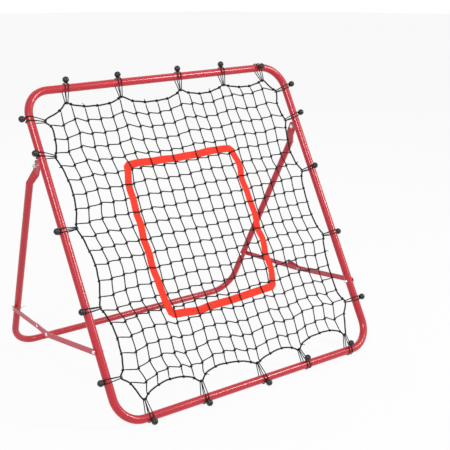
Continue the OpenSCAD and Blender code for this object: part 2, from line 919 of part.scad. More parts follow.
// Half of the stand: flattened end, leg, corner and half of the crossbar.
module leg(side, plugged) {
    slice = 1;
    sides = 32;
    swell_r = (leg_r + hair) / cos(180 / sides);
    corner_p = [leg_corner_x - leg_tangent, 0, leg_bend - leg_len];
    leg_run = (leg_len - leg_top_t) / cos(leg_toe) - leg_tangent;
    in_stand()
        on_side(side)
            difference() {
                union() {
                    translate([paddle_in, 0, 0])
                        rotate([0, 90, 0])
                            cylinder(r = paddle_w / 2, h = paddle_t);
                    translate([paddle_in, -paddle_w / 2, -paddle_len])
                        cube([paddle_t, paddle_w, paddle_len]);
                    hull() {
                        translate([paddle_in, -paddle_w / 2, -paddle_len])
                            cube([paddle_t, paddle_w, slice]);
                        leg_axis(leg_top_t)
                            translate([0, 0, -slice])
                                cylinder(r = swell_r, h = slice, $fn = sides);
                    }
                    translate(corner_p)
                        difference() {
                            bend(leg_r, leg_bend, -90, 90);
                            rotate([0, leg_toe, 0])
                                translate([leg_bend - leg_d, -leg_d, 0])
                                    cube(leg_d * 2);
                        }
                    translate(corner_p)
                        rotate([0, leg_toe, 0])
                            translate([leg_bend, 0, 0])
                                tube(leg_r, leg_run + slice / 2);
                    translate([seam / 2, 0, -leg_len])
                        rotate([0, 90, 0])
                            tube(leg_r, leg_corner_x - leg_tangent - seam / 2);
                    if (plugged)
                        translate([seam / 2, 0, -leg_len])
                            rotate([0, 90, 0])
                                plug(leg_r, leg_plug_r);
                }
                x_rod(hinge_bolt_r + bolt_fit, paddle_in - 1, paddle_in + paddle_t + 1);
                translate([0, 0, -rear_pivot])
                    x_rod(brace_bolt_r + bolt_fit, rear_leg_x - leg_d, rear_leg_x + leg_d);
            }
}

// A place on the leg's axis, with Z along it.
module leg_axis(t) {
    translate([leg_x(t), 0, -t])
        rotate([0, leg_toe, 0])
            children();
}

module left_leg() {
    color("#c8323f")
        leg(-1, true);
}

module right_leg() {
    color("#c8323f")
        leg(1, false);
}

rear_nut_at = rear_leg_x - leg_r / cos(leg_toe) - gap * 2 - brace_nut_t;
module rear_brace_bolts() {
    head_at = rear_bar_in + bar_t + bar_gap;
    color("#d8dade")
        for (side = [-1, 1])
            at_rear_pivot(side)
                union() {
                    dome_head(brace_bolt_r * 2, brace_head_t, head_at, 1);
                    x_rod(brace_bolt_r, rear_nut_at - rear_thread, head_at + eps);
                }
}

module rear_brace_washers() {
    color("#d8dade")
        for (side = [-1, 1])
            at_rear_pivot(side)
                washer(brace_bolt_r, rear_washer_in);
}

module rear_brace_nuts() {
    color("#d8dade")
        for (side = [-1, 1])
            at_rear_pivot(side)
                nut(brace_bolt_r, brace_nut_t, rear_nut_at);
}

// ---------- braces ----------

// A pivot of the side view as the origin, X still sideways.
module at_pivot(p) {
    translate([0, p[0], p[1]])
        children();
}

// The plane of one bar: +X along it, +Z outwards, its inner face at Z = 0.
module bar_plane(inner, angle, slant) {
    translate([inner, 0, 0])
        side_view()
            rotate([0, 0, angle])
                rotate([0, -slant, 0])
                    children();
}

// A straight stretch of bar with round ends.
module bar_shape(w, length) {
    translate([0, -w / 2])
        square([length, w]);
    circle(r = w / 2);
    translate([length, 0])
        circle(r = w / 2);
}

module front_bar(side) {
    long = bar_len / cos(front_slant);
    on_side(side)
        at_pivot(front_p)
            difference() {
                bar_plane(front_bar_in, front_angle, front_slant)
                    linear_extrude(bar_t)
                        difference() {
                            union() {
                                bar_shape(front_bar_w, long);
                                translate([long, 0])
                                    rotate(tail_turn)
                                        bar_shape(front_bar_w, tail_len);
                            }
                            translate([long, 0])
                                circle(r = rivet_d / 2 + bolt_fit);
                            translate([long, 0])
                                rotate(tail_turn)
                                    translate([tail_len, 0])
                                        circle(r = stud_d / 2 + bolt_fit);
                        }
                x_rod(brace_bolt_r + bolt_fit, front_bar_in - bar_t * 2, front_bar_in + bar_t * 4);
            }
}

module rear_bar(side) {
    long = bar_len / cos(rear_slant);
    on_side(side)
        at_pivot(rear_p)
            difference() {
                bar_plane(rear_bar_in, rear_angle, rear_slant)
                    linear_extrude(bar_t)
                        difference() {
                            bar_shape(rear_bar_w, long);
                            translate([long, 0])
                                circle(r = rivet_d / 2 + bolt_fit);
                        }
                x_rod(brace_bolt_r + bolt_fit, rear_bar_in - bar_t * 2, rear_bar_in + bar_t * 4);
            }
}

// The outer half of the knee rivet: a domed head outside, its shank in the front bar, and
// the shank's end that keeps the bars apart.
module knee_rivet(side) {
    long = bar_len / cos(front_slant);
    on_side(side)
        at_pivot(front_p)
            bar_plane(front_bar_in, front_angle, front_slant)
                translate([long, 0, 0])
                    rotate([0, -90, 0])
                        union() {
                            dome_head(rivet_d, cap_t * 1.5, bar_t + bolt_fit, 1);
                            x_rod(rivet_d / 2, gap * 2 - knee_gap, bar_t + bolt_fit + eps);
                        }
}

// The inner half of the knee rivet: a flat cap inside and its shank in the rear bar.
module knee_cap(side) {
    long = bar_len / cos(rear_slant);
    on_side(side)
        at_pivot(rear_p)
            bar_plane(rear_bar_in, rear_angle, rear_slant)
                translate([long, 0, 0])
                    rotate([0, -90, 0])
                        union() {
                            dome_head(rivet_d, cap_t, -bolt_fit, -1);
                            x_rod(rivet_d / 2, -bolt_fit - eps, bar_t);
                        }
}

// The stud through the tail's end, which stops the knee just past straight.
module stop_stud(side) {
    long = bar_len / cos(front_slant);
    inner = stud_in - (front_knee_in + tail_len * tan(front_slant));
    on_side(side)
        at_pivot(front_p)
            bar_plane(front_bar_in, front_angle, front_slant)
                translate([long, 0, 0])
                    rotate([0, 0, tail_turn])
                        translate([tail_len, 0, 0])
                            rotate([0, -90, 0])
                                union() {
                                    dome_head(stud_d * 0.8, 1.5, bar_t + bolt_fit, 1);
                                    x_rod(stud_d / 2, inner, bar_t + bolt_fit + eps);
                                }
}

module left_front_bar() {
    color("#d2606f")
        front_bar(-1);
}

module right_front_bar() {
    color("#d2606f")
        front_bar(1);
}

module left_rear_bar() {
    color("#d2606f")
        rear_bar(-1);
}

module right_rear_bar() {
    color("#d2606f")
        rear_bar(1);
}

module left_knee_rivet() {
    color("#e3c3c8")
        knee_rivet(-1);
}

module right_knee_rivet() {
    color("#e3c3c8")
        knee_rivet(1);
}

module left_knee_cap() {
    color("#e3c3c8")
        knee_cap(-1);
}

module right_knee_cap() {
    color("#e3c3c8")
        knee_cap(1);
}

module left_stop_stud() {
    color("#e3c3c8")
        stop_stud(-1);
}

module right_stop_stud() {
    color("#e3c3c8")
        stop_stud(1);
}

left_upper_corner();
right_upper_corner();
left_side_tube();
right_side_tube();
left_lower_corner();
right_lower_corner();
net();
border_rope();
target_ribbon();
top_bungees();
bottom_bungees();
left_bungees();
right_bungees();
top_balls();
bottom_balls();
left_balls();
right_balls();
hinge_bolts();
hinge_washers();
hinge_nuts();
front_brace_bolts();
front_brace_nuts();
left_leg();
right_leg();
rear_brace_bolts();
rear_brace_washers();
rear_brace_nuts();
left_front_bar();
right_front_bar();
left_rear_bar();
right_rear_bar();
left_knee_rivet();
right_knee_rivet();
left_knee_cap();
right_knee_cap();
left_stop_stud();
right_stop_stud();
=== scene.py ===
"""Pitch back rebounder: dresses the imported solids, and ties its net, rope, bungees and target.

Lengths are millimetres until a mesh is made, and metres from then on. A place on the frame
is given as (x, rise, back): sideways, up the frame's slope, and behind the frame's plane.
"""

import logging
import math
import random
from dataclasses import dataclass, field
from enum import Enum
from typing import Any, Callable, Iterable, Mapping, Optional, Sequence, Union

import bpy
import numpy as np
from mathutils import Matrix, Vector


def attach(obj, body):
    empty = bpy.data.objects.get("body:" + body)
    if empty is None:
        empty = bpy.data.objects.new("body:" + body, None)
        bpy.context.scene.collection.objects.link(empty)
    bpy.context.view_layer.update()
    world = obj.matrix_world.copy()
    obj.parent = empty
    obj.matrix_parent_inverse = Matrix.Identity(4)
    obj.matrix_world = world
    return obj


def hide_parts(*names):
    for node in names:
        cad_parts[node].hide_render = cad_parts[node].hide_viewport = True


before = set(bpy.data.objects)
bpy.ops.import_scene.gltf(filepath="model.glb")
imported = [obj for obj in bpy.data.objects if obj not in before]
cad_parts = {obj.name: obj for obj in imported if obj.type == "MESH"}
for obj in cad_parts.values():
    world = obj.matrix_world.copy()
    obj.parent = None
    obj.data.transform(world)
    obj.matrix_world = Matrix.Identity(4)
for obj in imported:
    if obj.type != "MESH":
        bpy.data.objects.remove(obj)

LOG = logging.getLogger("rebounder")
MM = 0.001
TURN = 2 * math.pi
WHITE = (1.0, 1.0, 1.0, 1.0)
Colour = tuple[float, float, float, float]
Array = np.ndarray
Lay = tuple[float, float, float]


# ---------- small vector helpers ----------


def unit(vector: Array) -> Array:
    """The vector at length one."""
    return vector / np.linalg.norm(vector)


def units(rows: Array) -> Array:
    """Each row of an array at length one."""
    return rows / np.maximum(np.linalg.norm(rows, axis=1, keepdims=True), 1e-9)


def turned(way: Array) -> Array:
    """A flat direction, or rows of them, turned a quarter to the left."""
    return np.stack([-way[..., 1], way[..., 0]], axis=-1)


def lengths(rows: Array, closed: bool = False) -> Array:
    """How far along a path each row lies, and for a closed path its whole length last."""
    steps = np.diff(rows, axis=0, append=rows[:1]) if closed else np.diff(rows, axis=0)
    return np.concatenate([[0.0], np.cumsum(np.linalg.norm(steps, axis=1))])


def smooth(points: Sequence[Sequence[float]], steps: int, closed: bool = False) -> Array:
    """A Catmull-Rom curve through rows of numbers.

    Args:
        points: The rows that the curve passes.
        steps: New rows for each stretch between two given ones.
        closed: True where the last row joins the first.

    Returns:
        The denser rows.
    """
    p = np.asarray(points, float)
    if closed:
        q = np.vstack([p[-1], p, p[0], p[1]])
    else:
        q = np.vstack([2 * p[0] - p[1], p, 2 * p[-1] - p[-2]])
    t = (np.arange(steps) / steps)[None, :, None]
    a, b, c, d = (q[k : len(q) - 3 + k][:, None, :] for k in range(4))
    rows = 0.5 * (
        2 * b
        + (c - a) * t
        + (2 * a - 5 * b + 4 * c - d) * t**2
        + (3 * b - a - 3 * c + d) * t**3
    )
    rows = rows.reshape(-1, p.shape[1])
    return rows if closed else np.vstack([rows, p[-1]])


# ---------- shader graph ----------


class Wire:
    """One output socket of a material's nodes, with arithmetic on numbers."""

    def __init__(self, graph: "Graph", socket: bpy.types.NodeSocket) -> None:
        """Keeps the graph and the socket."""
        self.graph = graph
        self.socket = socket

    def calc(self, operation: str, first: Any, second: Any = 0.0) -> "Wire":
        """The result of one Math node."""
        node = self.graph.node(
            "ShaderNodeMath", {"operation": operation}, {0: first, 1: second}
        )
        return Wire(self.graph, node.outputs[0])

    def __add__(self, other: "Number") -> "Wire":
        """This plus the other."""
        return self.calc("ADD", self, other)

    def __radd__(self, other: float) -> "Wire":
        """The other plus this."""
        return self.calc("ADD", other, self)

    def __sub__(self, other: "Number") -> "Wire":
        """This minus the other."""
        return self.calc("SUBTRACT", self, other)

    def __rsub__(self, other: float) -> "Wire":
        """The other minus this."""
        return self.calc("SUBTRACT", other, self)

    def __mul__(self, other: "Number") -> "Wire":
        """This times the other."""
        return self.calc("MULTIPLY", self, other)

    def __rmul__(self, other: float) -> "Wire":
        """The other times this."""
        return self.calc("MULTIPLY", other, self)

    def __pow__(self, other: "Number") -> "Wire":
        """This to the other's power."""
        return self.calc("POWER", self, other)

    def __rpow__(self, other: float) -> "Wire":
        """The other to this power."""
        return self.calc("POWER", other, self)

    def sine(self) -> "Wire":
        """The sine of an angle in radians."""
        return self.calc("SINE", self)

    def size(self) -> "Wire":
        """The value without its sign."""
        return self.calc("ABSOLUTE", self)

    def at_most(self, other: "Number") -> "Wire":
        """The smaller of the two."""
        return self.calc("MINIMUM", self, other)

    def at_least(self, other: "Number") -> "Wire":
        """The larger of the two."""
        return self.calc("MAXIMUM", self, other)


Number = Union[Wire, float]


class Graph:
    """Builds the nodes of one material or world."""

    def __init__(self, name: str, world: bool = False) -> None:
        """Starts a material, or a world, with no nodes."""
        self.owner = (bpy.data.worlds if world else bpy.data.materials).new(name)
        self.owner.use_nodes = True
        self.tree = self.owner.node_tree
        self.tree.nodes.clear()

    def node(
        self,
        kind: str,
        settings: Optional[Mapping[str, Any]] = None,
        inputs: Optional[Mapping[Any, Any]] = None,
    ) -> bpy.types.Node:
        """Adds a node.

        Args:
            kind: The node's type.
            settings: Properties of the node, set first.
            inputs: Values or links by socket name or number.

        Returns:
            The new node.
        """
        node = self.tree.nodes.new(kind)
        for key, value in (settings or {}).items():
            setattr(node, key, value)
        for key, value in (inputs or {}).items():
            socket = node.inputs[key]
            if isinstance(value, Wire):
                self.tree.links.new(value.socket, socket)
            else:
                socket.default_value = value
        return node

    def out(self, node: bpy.types.Node, name: Any = 0) -> Wire:
        """One output of a node as a wire."""
        return Wire(self, node.outputs[name])

    def place(self) -> Wire:
        """The point on the object, in metres."""
        return self.out(self.node("ShaderNodeTexCoord"), "Object")

    def lay(self) -> tuple[Wire, Wire, Wire]:
        """How a cord lies: millimetres along it, turns round it, and its own number."""
        read = self.node("ShaderNodeAttribute", {"attribute_name": "lay"})
        split = self.node("ShaderNodeSeparateXYZ", None, {0: self.out(read, "Vector")})
        return self.out(split, 0), self.out(split, 1), self.out(split, 2)

    def noise(self, scale: float, detail: float = 3.0, where: Optional[Wire] = None) -> Wire:
        """Noise between 0 and 1.

        Args:
            scale: Features for each metre, or for each unit of where.
            detail: Octaves.
            where: The point to read it at.

        Returns:
            The noise.
        """
        inputs = {"Vector": where or self.place(), "Scale": scale, "Detail": detail}
        return self.out(self.node("ShaderNodeTexNoise", None, inputs), 0)

    def mix(self, share: Number, first: Any, second: Any) -> Wire:
        """One colour turning into another."""
        node = self.node(
            "ShaderNodeMix", {"data_type": "RGBA"}, {0: share, 6: first, 7: second}
        )
        return self.out(node, 2)

    def bump(self, height: Wire, depth: float, strength: float = 1.0) -> Wire:
        """A normal bent by a height between 0 and 1 that stands for a depth in metres."""
        inputs = {"Height": height, "Distance": depth, "Strength": strength}
        return self.out(self.node("ShaderNodeBump", None, inputs), 0)

    def surface(self, inputs: Mapping[str, Any]) -> bpy.types.Material:
        """Closes the graph with a Principled shader and gives the material."""
        shader = self.node("ShaderNodeBsdfPrincipled", None, inputs)
        self.node("ShaderNodeOutputMaterial", None, {0: self.out(shader)})
        return self.owner

    def seen(self) -> Wire:
        """1 where a camera, glossy or transmission ray arrives, and 0 for plain light."""
        path = self.node("ShaderNodeLightPath")
        camera, glossy, clear = (
            self.out(path, f"Is {kind} Ray") for kind in ("Camera", "Glossy", "Transmission")
        )
        return (camera + glossy + clear).at_most(1.0)


# ---------- finishes ----------


@dataclass(frozen=True)
class PowderCoat:
    """Glossy powder coat on steel, with a faint orange peel and a few scuffs."""

    name: str
    colour: Colour
    worn: Colour
    gloss: float

    def make(self) -> bpy.types.Material:
        """The material."""
        g = Graph(self.name)
        cloud = g.noise(9.0, 4.0)
        scuff = ((g.noise(70.0, 6.0) - 0.62) * 9.0).at_least(0.0).at_most(1.0)
        colour = g.mix(cloud * 0.35 + scuff * 0.25, self.colour, self.worn)
        peel = g.noise(650.0, 2.0) * 0.7 + g.noise(2400.0, 1.0) * 0.3
        return g.surface(
            {
                "Base Color": colour,
                "Roughness": self.gloss + cloud * 0.06 + scuff * 0.12,
                "Normal": g.bump(peel, 0.00001, 0.15),
                "Specular IOR Level": 0.45,
                "Coat Weight": 0.06 + cloud * 0.06,
                "Coat Roughness": 0.1,
            }
        )


@dataclass(frozen=True)
class LaidCord:
    """Twine or rope laid from twisted yarns, with stray fibres, and colour lighter on the yarns'
    crests as a painted highlight.
    """

    name: str
    colour: Colour
    # The lighter colour: a painted highlight on the yarns' crests, and the fibres' own lighter
    # tone.
    crest_highlight_and_fibre: Colour
    lay_mm: float
    yarns: int
    depth: float

    def make(self) -> bpy.types.Material:
        """The material."""
        g = Graph(self.name)
        along, around, own = g.lay()
        phase = along * (TURN / self.lay_mm) + around * (TURN * self.yarns) + own * 3.1
        ridge = (phase.sine() * 0.5 + 0.5) ** 0.7
        fibre = g.noise(1800.0, 3.0)
        fade = g.noise(14.0, 3.0)
        # Lighter on the yarns' crests: a painted highlight; the fibre and fade noise add the
        # cord's own random tone.
        colour = g.mix(ridge * 0.5 + fibre * 0.35 + fade * 0.25, self.colour, self.crest_highlight_and_fibre)
        return g.surface(
            {
                "Base Color": colour,
                "Roughness": 0.62 + fibre * 0.25,
                "Normal": g.bump(ridge * 0.75 + fibre * 0.25, self.depth, 0.9),
                "Specular IOR Level": 0.25,
            }
        )


@dataclass(frozen=True)
class BraidedElastic:
    """The braided cover of an elastic cord, lighter on the plait's crests as a painted highlight.
    """

    name: str
    colour: Colour
    crest_highlight_and_fibre: Colour

    def make(self) -> bpy.types.Material:
        """The material."""
        g = Graph(self.name)
        along, around, _ = g.lay()
        one = (along * (TURN / 3.2) + around * (TURN * 4)).sine()
        other = (along * (TURN / 3.2) - around * (TURN * 4)).sine()
        plait = (one * other * 0.5 + 0.5) ** 0.8
        fibre = g.noise(2200.0, 2.0)
        # Lighter on the plait's crests: a painted highlight; the fibre noise is the cord's own
        # tone.
        colour = g.mix(plait * 0.55 + fibre * 0.3, self.colour, self.crest_highlight_and_fibre)
        return g.surface(
            {
                "Base Color": colour,
                "Roughness": 0.55 + fibre * 0.2,
                "Normal": g.bump(plait * 0.8 + fibre * 0.2, 0.0003, 0.8),
                "Specular IOR Level": 0.3,
            }
        )


@dataclass(frozen=True)
class MouldedBall:
    """Black moulded plastic with fine scratches."""

    name: str
    colour: Colour
    worn: Colour

    def make(self) -> bpy.types.Material:
        """The material."""
        g = Graph(self.name)
        cloud = g.noise(90.0, 3.0)
        grain = g.noise(1500.0, 4.0)
        return g.surface(
            {
                "Base Color": g.mix(cloud * 0.4 + grain * 0.2, self.colour, self.worn),
                "Roughness": 0.24 + grain * 0.14 + cloud * 0.05,
                "Normal": g.bump(grain, 0.00004, 0.5),
                "IOR": 1.49,
            }
        )


@dataclass(frozen=True)
class WovenRibbon:
    """Bright webbing: ribs across its length and a tight selvedge, with painted shade in the
    hollows of the weave.
    """

    name: str
    colour: Colour
    # The darker colour: painted shade in the weave's hollows, and the webbing's own darker fibres
    # and selvedge.
    hollow_shade_and_selvedge: Colour
    rib_mm: float

    def make(self) -> bpy.types.Material:
        """The material. The lay holds millimetres along it, and -1 to 1 across it."""
        g = Graph(self.name)
        along, across, _ = g.lay()
        rib = (along * (TURN / self.rib_mm)).sine() * 0.5 + 0.5
        warp = (across * (TURN * 11)).sine() * 0.5 + 0.5
        edge = ((across.size() - 0.9) * 12.0).at_least(0.0).at_most(1.0)
        weave = rib * 0.6 + warp * 0.4
        fibre = g.noise(900.0, 3.0)
        # Darker in the weave's hollows: painted shade; the fibre noise and the darker selvedge are
        # the webbing's own tone.
        share = (1 - weave) * 0.35 + fibre * 0.25 + edge * 0.2
        return g.surface(
            {
                "Base Color": g.mix(share, self.colour, self.hollow_shade_and_selvedge),
                "Roughness": 0.6 + fibre * 0.2,
                "Normal": g.bump(weave + edge * 0.6, 0.00025, 0.7),
                "Specular IOR Level": 0.25,
            }
        )


@dataclass(frozen=True)
class ZincPlate:
    """Bright zinc plate with a little grain and stain."""

    name: str
    colour: Colour
    stain: Colour

    def make(self) -> bpy.types.Material:
        """The material."""
        g = Graph(self.name)
        grain = g.noise(1400.0, 4.0)
        cloud = g.noise(160.0, 4.0)
        return g.surface(
            {
                "Base Color": g.mix(cloud * 0.5, self.colour, self.stain),
                "Metallic": 1.0,
                "Roughness": 0.26 + grain * 0.14 + cloud * 0.08,
                "Normal": g.bump(grain, 0.00003, 0.5),
            }
        )


@dataclass(frozen=True)
class StudioFloor:
    """A pale floor that reads as white to the camera and still takes a shadow."""

    name: str
    colour: Colour
    lift: float

    def make(self) -> bpy.types.Material:
        """The material."""
        g = Graph(self.name)
        shader = g.node(
            "ShaderNodeBsdfPrincipled", None, {"Base Color": self.colour, "Roughness": 0.9}
        )
        glow = g.node("ShaderNodeEmission", None, {"Color": WHITE, "Strength": 1.0})
        both = g.node(
            "ShaderNodeMixShader",
            None,
            {0: g.seen() * self.lift, 1: g.out(shader), 2: g.out(glow)},
        )
        g.node("ShaderNodeOutputMaterial", None, {0: g.out(both)})
        return g.owner


class Finish(Enum):
    """Every finish on the object, by its slot in the record."""

    FRAME_RED = PowderCoat(
        "frame_red", (0.54, 0.014, 0.028, 1), (0.63, 0.035, 0.055, 1), 0.2
    )
    BRACE_RED = PowderCoat(
        "brace_red", (0.56, 0.045, 0.075, 1), (0.66, 0.11, 0.145, 1), 0.33
    )
    # The second colour of each cord and of the elastic is lighter: a painted highlight on its
    # crests, mixed with fibre tone.
    NET_CORD = LaidCord(
        "net_cord", (0.004, 0.004, 0.005, 1), (0.02, 0.02, 0.022, 1), 2.6, 3, 0.0004
    )
    BORDER_ROPE = LaidCord(
        "border_rope", (0.004, 0.004, 0.005, 1), (0.02, 0.02, 0.022, 1), 3.4, 4, 0.0004
    )
    ELASTIC_CORD = BraidedElastic(
        "elastic_cord", (0.005, 0.005, 0.006, 1), (0.032, 0.032, 0.035, 1)
    )
    BUNGEE_BALL = MouldedBall(
        "bungee_ball", (0.008, 0.008, 0.009, 1), (0.022, 0.022, 0.024, 1)
    )
    # The ribbon's second colour is darker: painted shade in the weave's hollows, and darker fibres
    # and selvedge.
    TARGET_RIBBON = WovenRibbon(
        "target_ribbon", (1.0, 0.05, 0.024, 1), (0.86, 0.032, 0.015, 1), 1.3
    )
    FASTENER = ZincPlate("fastener", (0.8, 0.81, 0.83, 1), (0.6, 0.6, 0.62, 1))

    @property
    def slot(self) -> str:
        """The slot's name in the record."""
        return self.value.name


class Paints:
    """Makes each finish once and hands it out."""

    def __init__(self) -> None:
        """Starts with nothing made."""
        self.made: dict[Finish, bpy.types.Material] = {}

    def get(self, finish: Finish) -> bpy.types.Material:
        """The material of a finish."""
        if finish not in self.made:
            self.made[finish] = finish.value.make()
        return self.made[finish]

    def coat(self, finish: Finish, nodes: Iterable[str]) -> None:
        """Puts a finish on solids of the frame."""
        for name in nodes:
            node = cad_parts[name]
            if not node.material_slots:
                node.data.materials.append(self.get(finish))
            for slot in node.material_slots:
                slot.material = self.get(finish)


# ---------- meshes ----------


@dataclass
class MeshKit:
    """Collects swept and lofted shapes, and turns them into one object."""

    name: str
    sides: int = 8
    points: list[Array] = field(default_factory=list)
    faces: list[list[int]] = field(default_factory=list)
    lays: list[Lay] = field(default_factory=list)
    count: int = 0
    cords: int = 0

    def add_points(self, rows: Array) -> int:
        """Adds points in millimetres and gives the number of the first."""
        first = self.count
        self.points.append(rows)
        self.count += len(rows)
        return first

    def add_face(self, corners: Sequence[int], lays: Sequence[Lay]) -> None:
        """Adds a face with what lies at each of its corners."""
        self.faces.append(list(corners))
        self.lays.extend(lays)

    def skin(
        self, first: int, rings: int, around: int, closed: bool, lay: Callable[[int, int], Lay]
    ) -> None:
        """Joins rings of points with quads.

        Args:
            first: The number of the first ring's first point.
            rings: How many rings there are.
            around: Points in each ring.
            closed: True where the last ring joins the first.
            lay: What lies at a ring and a place round it.
        """
        for i in range(rings if closed else rings - 1):
            here, there = first + i * around, first + (i + 1) % rings * around
            for k in range(around):
                q = (k + 1) % around
                self.add_face(
                    [here + k, here + q, there + q, there + k],
                    [lay(i, k), lay(i, k + 1), lay(i + 1, k + 1), lay(i + 1, k)],
                )

    def sweep(self, path: Array, radii: Any, closed: bool = False) -> None:
        """Sweeps a round section along a path.

        Args:
            path: Points in millimetres.
            radii: One radius, or one for each point.
            closed: True where the end joins the start.
        """
        path = np.asarray(path, float)
        n, m = len(path), self.sides
        r = np.broadcast_to(np.asarray(radii, float), (n,))
        if closed:
            ahead = units(np.roll(path, -1, 0) - np.roll(path, 1, 0))
        else:
            ahead = units(np.gradient(path, axis=0))
        normals = np.empty_like(path)
        start = np.array([0.0, 0.0, 1.0])
        if abs(ahead[0] @ start) > 0.9:
            start = np.array([1.0, 0.0, 0.0])
        normal = unit(start - (start @ ahead[0]) * ahead[0])
        for i in range(n):
            normal = unit(normal - (normal @ ahead[i]) * ahead[i])
            normals[i] = normal
        second = np.cross(ahead, normals)
        twist = np.zeros(n)
        if closed:
            last = unit(normal - (normal @ ahead[0]) * ahead[0])
            slip = math.atan2(last @ second[0], last @ normals[0])
            twist = -slip * np.arange(n) / n
        angle = (np.arange(m) / m * TURN)[None, :] + twist[:, None]
        rings = (
            path[:, None, :]
            + normals[:, None, :] * (np.cos(angle) * r[:, None])[:, :, None]
            + second[:, None, :] * (np.sin(angle) * r[:, None])[:, :, None]
        )
        first = self.add_points(rings.reshape(-1, 3))
        along = lengths(path, closed=True)
        own = float(self.cords)
        self.cords += 1
        self.skin(first, n, m, closed, lambda i, k: (along[i], k / m, own))
        if not closed:
            self.add_face([first + k for k in reversed(range(m))], [(0.0, 0.0, own)] * m)
            tail = first + (n - 1) * m
            self.add_face([tail + k for k in range(m)], [(along[n - 1], 0.0, own)] * m)

    def lathe(self, centre: Array, axis: Array, profile: Array, around: int) -> None:
        """Turns a profile of (radius, height) rows round an axis; its ends lie on the axis.

        Args:
            centre: The point at height 0.
            axis: The direction of height.
            profile: Rows of radius and height in millimetres.
            around: Facets round the axis.
        """
        axis = unit(axis)
        side = unit(np.cross(axis, [0.31, 0.87, 0.39]))
        other = np.cross(axis, side)
        angle = np.arange(around) / around * TURN
        spokes = np.cos(angle)[:, None] * side + np.sin(angle)[:, None] * other
        inner = profile[1:-1]
        rings = (
            centre + inner[:, None, 1:2] * axis + inner[:, None, 0:1] * spokes[None, :, :]
        )
        first = self.add_points(rings.reshape(-1, 3))
        ends = self.add_points(
            np.array([centre + profile[0, 1] * axis, centre + profile[-1, 1] * axis])
        )
        none = (0.0, 0.0, 0.0)
        self.skin(first, len(inner), around, False, lambda i, k: none)
        top = first + (len(inner) - 1) * around
        for k in range(around):
            q = (k + 1) % around
            self.add_face([ends, first + q, first + k], [none] * 3)
            self.add_face([ends + 1, top + k, top + q], [none] * 3)

    def build(
        self,
        material: bpy.types.Material,
        body: str,
        slot: str,
        replaced: Sequence[str] = (),
    ) -> bpy.types.Object:
        """Makes the object, gives it its finish and lets it ride on a body.

        Args:
            material: Its finish.
            body: The body that it moves with.
            slot: Not used.
            replaced: The solids that it stands for.

        Returns:
            The object.
        """
        mesh = bpy.data.meshes.new(self.name)
        mesh.from_pydata((np.vstack(self.points) * MM).tolist(), [], self.faces)
        mesh.polygons.foreach_set("use_smooth", [True] * len(mesh.polygons))
        lay = mesh.attributes.new("lay", "FLOAT_VECTOR", "CORNER")
        lay.data.foreach_set("vector", np.asarray(self.lays, np.float32).ravel())
        mesh.materials.append(material)
        mesh.update()
        piece = bpy.data.objects.new(self.name, mesh)
        bpy.context.scene.collection.objects.link(piece)
        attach(piece, body)
        if replaced:
            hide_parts(*replaced)
        LOG.info("%s: %d faces on %s", self.name, len(self.faces), body)
        return piece


# ---------- the frame's plane and its sides ----------


@dataclass(frozen=True)
class FramePlane:
    """The leaning plane of the frame and the sizes that the soft pieces share with it."""

    lean: float = 29.5
    axis_y: float = -352.611
    axis_z: float = 15.711
    width: float = 975.0
    height: float = 1002.0
    tube_r: float = 12.5
    rope_r: float = 2.75
    cord_r: float = 1.5
    gap: float = 0.3
    side_inset: float = 44.0
    top_inset: float = 45.0
    bottom_inset: float = 50.0
    spread: float = 11.0
    pinch: float = 5.0

    def world(self, rows: Array) -> Array:
        """Rows of (x, rise, back) as points over the ground, in millimetres."""
        rows = np.atleast_2d(np.asarray(rows, float))
        s, c = math.sin(math.radians(self.lean)), math.cos(math.radians(self.lean))
        return np.column_stack(
            [
                rows[:, 0],
                self.axis_y + rows[:, 1] * s + rows[:, 2] * c,
                self.axis_z + rows[:, 1] * c - rows[:, 2] * s,
            ]
        )

    def direction(self, row: Sequence[float]) -> Array:
        """A direction given as (x, rise, back), over the ground."""
        return self.world([row])[0] - self.world([[0.0, 0.0, 0.0]])[0]

    @property
    def rope_loop_r(self) -> float:
        """Radius of a strand's bend round the rope."""
        return self.rope_r + self.gap + self.cord_r


@dataclass(frozen=True)
class TieSide:
    """The five ties of one side of the frame, with places in percent of the side."""

    name: str
    upright: bool
    tube_at: float
    knot_at: float
    ties: tuple[float, ...]
    knots: tuple[float, ...]
    turns: tuple[float, ...]
    slides: tuple[float, ...]
    marks: tuple[tuple[float, float], ...]

    def points(self, plane: FramePlane, shares: Sequence[float], at: float) -> Array:
        """Places in percent along the side as (x, rise) rows."""
        if self.upright:
            return np.array([[at, p / 100 * plane.height] for p in shares])
        return np.array([[p / 100 * plane.width, at] for p in shares])

    def tie_points(self, plane: FramePlane) -> Array:
        """Where the ties cross the tube's axis."""
        return self.points(plane, self.ties, self.tube_at)

    def knot_points(self, plane: FramePlane) -> Array:
        """Where the ties hold the rope's axis."""
        return self.points(plane, self.knots, self.knot_at)

    @property
    def tube_way(self) -> Array:
        """Direction of the tube in the frame's plane."""
        return np.array([0.0, 1.0] if self.upright else [1.0, 0.0])


